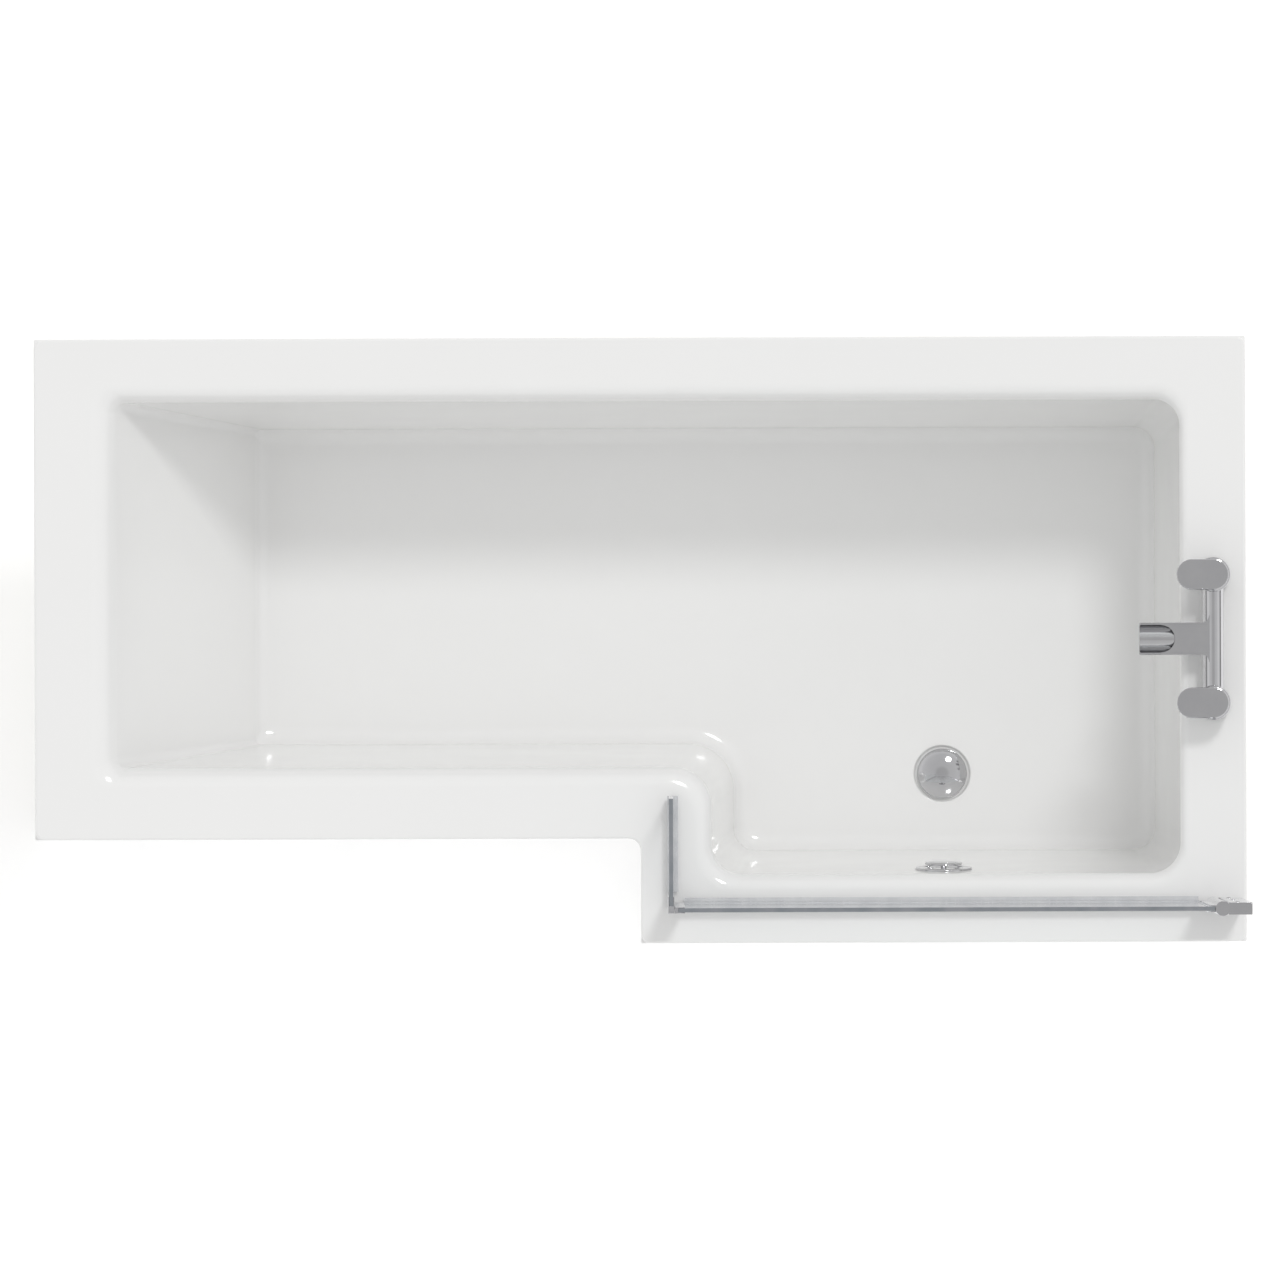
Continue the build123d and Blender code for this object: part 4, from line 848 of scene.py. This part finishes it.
# Corner profiles and bottom seals: two bright extrusions key together at the corner, and clear flexible seals
# clip on the lower edges of both panes, each with a drip fin to the bath side and a blade that sweeps the rim.
softened("corner_extrusion_long", "corner_profile_main", "screen", "bright_aluminium", bright)
softened("corner_extrusion_short", "corner_profile_return", "screen", "bright_aluminium", bright)
softened("sweep_seal_long", "main_bottom_seal", "screen", "clear_seal", clear, 0.0)
softened("sweep_seal_short", "return_bottom_seal", "screen", "clear_seal", clear, 0.0)

# Front panel: one moulded L of white acrylic sheet, tucked up behind the rim's lip and fixed at the foot by
# chromed screws to battens on the floor.
softened("panel_moulding", "front_panel", "bath", "acrylic", acrylic, 0.0008)
screws_low, screws_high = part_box("panel_screws")
screw_height = (screws_low.z + screws_high.z) / 2
panel_inset, panel_wall, end_inset = 0.0065, 0.004, 0.0105
front_y, side_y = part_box("front_panel")[0].y, narrow_edge + panel_inset
step_x = step_edge + panel_inset
left_edge, right_edge = -bath_length / 2 + end_inset, bath_length / 2 - end_inset
panel_points, panel_turns = [], []
for part in (0.15, 0.5, 0.85):
    panel_points.append((left_edge + (step_x + panel_wall - left_edge) * part, side_y, screw_height))
    panel_points.append((
        step_x + panel_wall + (right_edge - step_x - panel_wall) * part, front_y, screw_height
    ))
    panel_turns += [(radians(-90), 0, 0)] * 2
panel_points.append((step_x, (front_y + side_y) / 2 + panel_wall, screw_height))
panel_turns.append((0, radians(90), 0))
panel_screw = recessed_screw(0.008, 0.002, 0.002, 0.026)
panel_fixings = grown(
    "panel_fixings", points_mesh(panel_points, panel_turns), copies_on_points,
    {"Piece": panel_screw, "Material": chrome},
)
placed(panel_fixings, "bath", "chrome", "panel_screws")

# Base board: raw chipboard bonded to the underside of the basin with resin, its chips showing on every face.
# It spreads the load of the water and takes the screws of the cradle rails.
chipboard = bpy.data.materials.new("chipboard")
chipboard.use_nodes = True
board_tree = chipboard.node_tree
board_shader = board_tree.nodes["Principled BSDF"]
board_shader.inputs["Roughness"].default_value = 0.85
board_place = board_tree.nodes.new("ShaderNodeTexCoord")
chips = board_tree.nodes.new("ShaderNodeTexVoronoi")
chips.inputs["Scale"].default_value = 240.0
chip_colour = board_tree.nodes.new("ShaderNodeValToRGB")
chip_colour.color_ramp.elements[0].color = (0.30, 0.19, 0.10, 1)
chip_colour.color_ramp.elements[1].color = (0.66, 0.50, 0.30, 1)
chip_relief = board_tree.nodes.new("ShaderNodeBump")
chip_relief.inputs["Distance"].default_value = 0.0004
board_tree.links.new(board_place.outputs["Object"], chips.inputs["Vector"])
board_tree.links.new(chips.outputs["Color"], chip_colour.inputs["Fac"])
board_tree.links.new(chip_colour.outputs["Color"], board_shader.inputs["Base Color"])
board_tree.links.new(chips.outputs["Distance"], chip_relief.inputs["Height"])
board_tree.links.new(chip_relief.outputs["Normal"], board_shader.inputs["Normal"])
softened("basin_board", "base_board", "bath", "chipboard", chipboard, 0.0005)

# Cradle rails: hat sections pressed from zinc-coated steel strip, screwed up into the board.
# Each one crosses the bath and carries a leg near either end.
rail_nodes = ("head_rail", "middle_rail", "tap_rail")
leg_inset = 0.042
leg_points = []
for node in rail_nodes:
    softened(f"pressed_{node}", node, "bath", "zinc_steel", zinc, 0.0006)
    low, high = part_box(node)
    leg_x = (low.x + high.x) / 2
    leg_points += [(leg_x, low.y + leg_inset, 0), (leg_x, high.y - leg_inset, 0)]
board_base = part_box("base_board")[0].z
rail_screw = recessed_screw(0.004, 0.002, 0.002, 0.0135)
rail_points = [(x + shift, y, board_base - 0.0025) for x, y, z in leg_points for shift in (-0.035, 0.035)]
rail_fixings = grown(
    "rail_fixings", points_mesh(rail_points), copies_on_points, {"Piece": rail_screw, "Material": zinc}
)
placed(rail_fixings, "bath", "zinc_steel", "rail_screws")


# Legs: lengths of zinc-plated threaded steel rod that pass through the rails.
# Two nuts lock each one at its height, and a third locks it on the foot.
def thread_tree():
    """Threaded rods standing on points: a core with a ridge wound round it."""
    tree, values, result = geometry_tree("threaded_rods", (
        ("Core", "NodeSocketFloat", 0.005), ("Ridge", "NodeSocketFloat", 0.0005),
        ("Pitch", "NodeSocketFloat", 0.0015), ("Length", "NodeSocketFloat", 0.1),
        ("Material", "NodeSocketMaterial", None),
    ))
    made, link = tree.nodes, tree.links.new
    core = made.new("GeometryNodeMeshCylinder")
    core.inputs["Vertices"].default_value = 20
    link(values.outputs["Core"], core.inputs["Radius"])
    link(values.outputs["Length"], core.inputs["Depth"])
    half = made.new("ShaderNodeMath")
    half.operation = "DIVIDE"
    half.inputs[1].default_value = 2.0
    link(values.outputs["Length"], half.inputs[0])
    up = made.new("ShaderNodeCombineXYZ")
    link(half.outputs[0], up.inputs["Z"])
    lift = made.new("GeometryNodeTransform")
    link(core.outputs["Mesh"], lift.inputs["Geometry"])
    link(up.outputs[0], lift.inputs["Translation"])
    turns = made.new("ShaderNodeMath")
    turns.operation = "DIVIDE"
    link(values.outputs["Length"], turns.inputs[0])
    link(values.outputs["Pitch"], turns.inputs[1])
    winding = made.new("GeometryNodeCurveSpiral")
    winding.inputs["Resolution"].default_value = 16
    link(turns.outputs[0], winding.inputs["Rotations"])
    link(values.outputs["Core"], winding.inputs["Start Radius"])
    link(values.outputs["Core"], winding.inputs["End Radius"])
    link(values.outputs["Length"], winding.inputs["Height"])
    ridge = made.new("GeometryNodeCurvePrimitiveCircle")
    ridge.inputs["Resolution"].default_value = 4
    link(values.outputs["Ridge"], ridge.inputs["Radius"])
    wound = made.new("GeometryNodeCurveToMesh")
    link(winding.outputs["Curve"], wound.inputs["Curve"])
    link(ridge.outputs["Curve"], wound.inputs["Profile Curve"])
    rod = made.new("GeometryNodeJoinGeometry")
    link(lift.outputs["Geometry"], rod.inputs["Geometry"])
    link(wound.outputs["Mesh"], rod.inputs["Geometry"])
    copies = made.new("GeometryNodeInstanceOnPoints")
    link(values.outputs["Geometry"], copies.inputs["Points"])
    link(rod.outputs["Geometry"], copies.inputs["Instance"])
    closed_tree(tree, values, result, copies.outputs["Instances"])
    return tree


threaded_rods = thread_tree()
stud_low, stud_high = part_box("leg_studs")
studs = grown(
    "threaded_studs", points_mesh([(x, y, stud_low.z) for x, y, z in leg_points]), threaded_rods,
    {"Core": 0.0054, "Ridge": 0.0005, "Pitch": 0.0018, "Length": stud_high.z - stud_low.z, "Material": zinc}, 60,
)
placed(studs, "bath", "zinc_steel", "leg_studs")


def hexagon_nut(across, bore, height):
    """A hexagon nut with both ends chamfered, standing on the origin."""
    nut = bmesh.new()
    flat = across / 2
    rings = [[], [], [], [], [], []]
    for step in range(36):
        turn = radians(step * 10)
        reach = flat / cos(radians((step * 10) % 60 - 30))
        fall = (reach - flat) * 0.55
        radii = (bore, flat * 0.96, reach, reach, flat * 0.96, bore)
        levels = (0, 0, fall + 0.0004, height - fall - 0.0004, height, height)
        for ring, radius, level in zip(rings, radii, levels):
            ring.append(nut.verts.new((radius * cos(turn), radius * sin(turn), level)))
    for lower, upper in zip(rings, rings[1:] + rings[:1]):
        bridged(nut, lower, upper)
    return pattern_piece(nut, "nut")


nut_points = [(x, y, level) for x, y, z in leg_points for level in (0.020, board_base - 0.035, board_base - 0.0225)]
locking_nuts = grown(
    "locking_nuts", points_mesh(nut_points), copies_on_points,
    {"Piece": hexagon_nut(0.019, 0.0056, 0.010), "Material": zinc}, 25,
)
placed(locking_nuts, "bath", "zinc_steel", "leg_nuts")

# Feet: black moulded plastic cups that take the ends of the studs.
# Their broad rounded base stands on the floor and spreads the load.
black = finish_of(
    "black_moulding", (0.030, 0.030, 0.032), (0.045, 0.045, 0.047), (0.42, 0.58), 60.0, 1600.0, 0.00008
)
cup = bmesh.new()
turned(cup, [
    (0.0, 0.0), (0.0235, 0.0), (0.0247, 0.0006), (0.025, 0.0018), (0.025, 0.0046), (0.0244, 0.0056),
    (0.0225, 0.0062), (0.0195, 0.0076), (0.0160, 0.0110), (0.0140, 0.0150), (0.0128, 0.0190), (0.0120, 0.0199),
    (0.0062, 0.0199), (0.0062, 0.0100), (0.0, 0.0100),
], segments=40)
feet = grown(
    "levelling_feet", points_mesh(leg_points), copies_on_points,
    {"Piece": pattern_piece(cup, "cup"), "Material": black}, 40,
)
placed(feet, "bath", "black_plastic", "leg_feet")

# Battens: sawn softwood strips. Five are bonded under the rim with resin to stiffen it,
# and three stand on the floor behind the panel, whose screws they take.
softwood = finish_of(
    "softwood_along", (0.74, 0.56, 0.34), (0.56, 0.38, 0.20), (0.6, 0.8), 14.0, 160.0, 0.0004, (0.25, 5, 5)
)
softwood_cross = finish_of(
    "softwood_across", (0.74, 0.56, 0.34), (0.56, 0.38, 0.20), (0.6, 0.8), 14.0, 160.0, 0.0004, (5, 0.25, 5)
)
for node, finish in (
    ("rim_batten_back", softwood), ("rim_batten_side", softwood), ("rim_batten_shower", softwood),
    ("rim_batten_head", softwood_cross), ("rim_batten_step", softwood_cross), ("floor_battens", softwood),
):
    softened(f"sawn_{node}", node, "bath", "timber", finish, 0.0008)

# Wall brackets: angles folded from zinc-coated steel and screwed to the wall.
# They catch the back lip of the rim and hold the bath in.
softened("folded_brackets", "wall_brackets", "bath", "zinc_steel", zinc, 0.0005)

# Waste, overflow elbow and trap: white moulded plastic, sealed with rubber rings
# and joined by hand-tight nuts with ribs round them for grip.
white = finish_of(
    "white_moulding", (0.80, 0.80, 0.78), (0.74, 0.74, 0.72), (0.28, 0.42), 50.0, 900.0, 0.00004
)
softened("waste_casting", "waste_body", "bath", "white_plastic", white, 0.0005)
softened("overflow_bend", "overflow_elbow", "bath", "white_plastic", white, 0.0005)
softened("trap_bend", "waste_trap", "bath", "white_plastic", white, 0.0, 50)
softened("filler_washers", "tap_washers", "bath", "white_plastic", white, 0.0003)
nodes["trap_seal"].material_slots[0].material = rubber


def rib_tree():
    """Upright ribs in a ring round a nut, joined to the nut itself."""
    tree, values, result = geometry_tree("grip_ribs", (
        ("Radius", "NodeSocketFloat", 0.02), ("Count", "NodeSocketInt", 24), ("Rib", "NodeSocketFloat", 0.001),
        ("Height", "NodeSocketFloat", 0.02), ("Material", "NodeSocketMaterial", None),
    ))
    made, link = tree.nodes, tree.links.new
    circle = made.new("GeometryNodeMeshCircle")
    link(values.outputs["Count"], circle.inputs["Vertices"])
    link(values.outputs["Radius"], circle.inputs["Radius"])
    rib = made.new("GeometryNodeMeshCylinder")
    rib.inputs["Vertices"].default_value = 10
    link(values.outputs["Rib"], rib.inputs["Radius"])
    link(values.outputs["Height"], rib.inputs["Depth"])
    copies = made.new("GeometryNodeInstanceOnPoints")
    link(circle.outputs["Mesh"], copies.inputs["Points"])
    link(rib.outputs["Mesh"], copies.inputs["Instance"])
    both = made.new("GeometryNodeJoinGeometry")
    link(values.outputs["Geometry"], both.inputs["Geometry"])
    link(copies.outputs["Instances"], both.inputs["Geometry"])
    closed_tree(tree, values, result, both.outputs["Geometry"])
    return tree


grip_ribs = rib_tree()


def ribbed_nut(name, radius, bore, height, count, place):
    """A round nut with grip ribs, centred on its own axis, then moved to its place."""
    nut = bmesh.new()
    half = height / 2
    turned(nut, [
        (bore, -half), (radius - 0.0016, -half), (radius - 0.0008, -half + 0.0008),
        (radius - 0.0008, half - 0.0008), (radius - 0.0016, half), (bore, half),
    ], segments=56, closed=True)
    bmesh.ops.recalc_face_normals(nut, faces=nut.faces)
    mesh = bpy.data.meshes.new(name)
    nut.to_mesh(mesh)
    nut.free()
    piece = grown(name, mesh, grip_ribs, {
        "Radius": radius - 0.0010, "Count": count, "Rib": 0.0009, "Height": height * 0.72, "Material": white,
    })
    piece.data.transform(place)
    return piece


nuts_low, nuts_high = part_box("overflow_nuts")
pipe_low, pipe_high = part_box("overflow_pipe")
pipe_radius = (pipe_high.x - pipe_low.x) / 2
drop_y, run_z = pipe_low.y + pipe_radius, pipe_low.z + pipe_radius
nut_length = 0.022
upper_nut = ribbed_nut(
    "upper_hose_nut", 0.019, pipe_radius, nut_length, 24,
    Matrix.Translation((waste_centre[0], drop_y, nuts_high.z - nut_length / 2)),
)
lower_nut = ribbed_nut(
    "lower_hose_nut", 0.019, pipe_radius, nut_length, 24,
    Matrix.Translation((waste_centre[0], nuts_high.y - nut_length / 2, run_z)) @ Matrix.Rotation(pi / 2, 4, "X"),
)
placed(upper_nut, "bath", "white_plastic", "overflow_nuts")
placed(lower_nut, "bath", "white_plastic", "overflow_nuts")
trap_low, trap_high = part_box("trap_nut")
big_nut = ribbed_nut(
    "trap_collar_nut", 0.0299, 0.0240, trap_high.z - trap_low.z, 36,
    Matrix.Translation((*waste_centre, (trap_low.z + trap_high.z) / 2)),
)
placed(big_nut, "bath", "white_plastic", "trap_nut")


# Overflow hose: a thin-walled white plastic hose with ribs moulded round it,
# which bends from the elbow to the side of the waste, a nut at either end.
def hose_tree():
    """A smooth tube along a line, with rings at an even pitch along it."""
    tree, values, result = geometry_tree("ribbed_hose", (
        ("Radius", "NodeSocketFloat", 0.013), ("Pitch", "NodeSocketFloat", 0.004),
        ("Rib", "NodeSocketFloat", 0.0012), ("Material", "NodeSocketMaterial", None),
    ))
    made, link = tree.nodes, tree.links.new
    line = made.new("GeometryNodeMeshToCurve")
    link(values.outputs["Geometry"], line.inputs["Mesh"])
    ring = made.new("GeometryNodeCurvePrimitiveCircle")
    ring.inputs["Resolution"].default_value = 32
    link(values.outputs["Radius"], ring.inputs["Radius"])
    tube = made.new("GeometryNodeCurveToMesh")
    tube.inputs["Fill Caps"].default_value = True
    link(line.outputs["Curve"], tube.inputs["Curve"])
    link(ring.outputs["Curve"], tube.inputs["Profile Curve"])
    bead = made.new("GeometryNodeCurvePrimitiveCircle")
    bead.inputs["Resolution"].default_value = 8
    link(values.outputs["Rib"], bead.inputs["Radius"])
    rib = made.new("GeometryNodeCurveToMesh")
    link(ring.outputs["Curve"], rib.inputs["Curve"])
    link(bead.outputs["Curve"], rib.inputs["Profile Curve"])
    along = made.new("GeometryNodeCurveToPoints")
    along.mode = "LENGTH"
    link(line.outputs["Curve"], along.inputs["Curve"])
    link(values.outputs["Pitch"], along.inputs["Length"])
    copies = made.new("GeometryNodeInstanceOnPoints")
    link(along.outputs["Points"], copies.inputs["Points"])
    link(along.outputs["Rotation"], copies.inputs["Rotation"])
    link(rib.outputs["Mesh"], copies.inputs["Instance"])
    both = made.new("GeometryNodeJoinGeometry")
    link(tube.outputs["Mesh"], both.inputs["Geometry"])
    link(copies.outputs["Instances"], both.inputs["Geometry"])
    closed_tree(tree, values, result, both.outputs["Geometry"])
    return tree


hose_bend = 0.070
hose_points = [(waste_centre[0], drop_y, pipe_high.z)]
for step in range(17):
    turn = pi / 2 * step / 16
    hose_points.append((
        waste_centre[0], drop_y + hose_bend * (1 - cos(turn)), run_z + hose_bend * (1 - sin(turn))
    ))
hose_points.append((waste_centre[0], pipe_high.y, run_z))
hose = grown(
    "ribbed_hose", points_mesh(hose_points, joined=True), hose_tree(),
    {"Radius": pipe_radius - 0.0012, "Pitch": 0.0045, "Rib": 0.0012, "Material": white}, 50,
)
placed(hose, "bath", "white_plastic", "overflow_pipe")

# Back nuts and tails: brass hexagons that clamp the filler under the rim.
# They run on the fine thread cut along each of its brass tails.
filler_nuts_low, filler_nuts_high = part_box("tap_back_nuts")
back_nut_points = [(tap_x, side * tap_half, filler_nuts_low.z) for side in (-1, 1)]
back_nuts = grown(
    "filler_back_nuts", points_mesh(back_nut_points), copies_on_points,
    {"Piece": hexagon_nut(0.033, 0.0134, filler_nuts_high.z - filler_nuts_low.z), "Material": brass}, 25,
)
placed(back_nuts, "bath", "brass", "tap_back_nuts")
tail_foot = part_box("tap_tails")[0].z
tails = grown(
    "threaded_tails", points_mesh([(tap_x, side * tap_half, tail_foot) for side in (-1, 1)]), threaded_rods,
    {"Core": 0.0126, "Ridge": 0.0006, "Pitch": 0.0018, "Length": 0.0685, "Material": brass}, 60,
)
placed(tails, "bath", "brass")
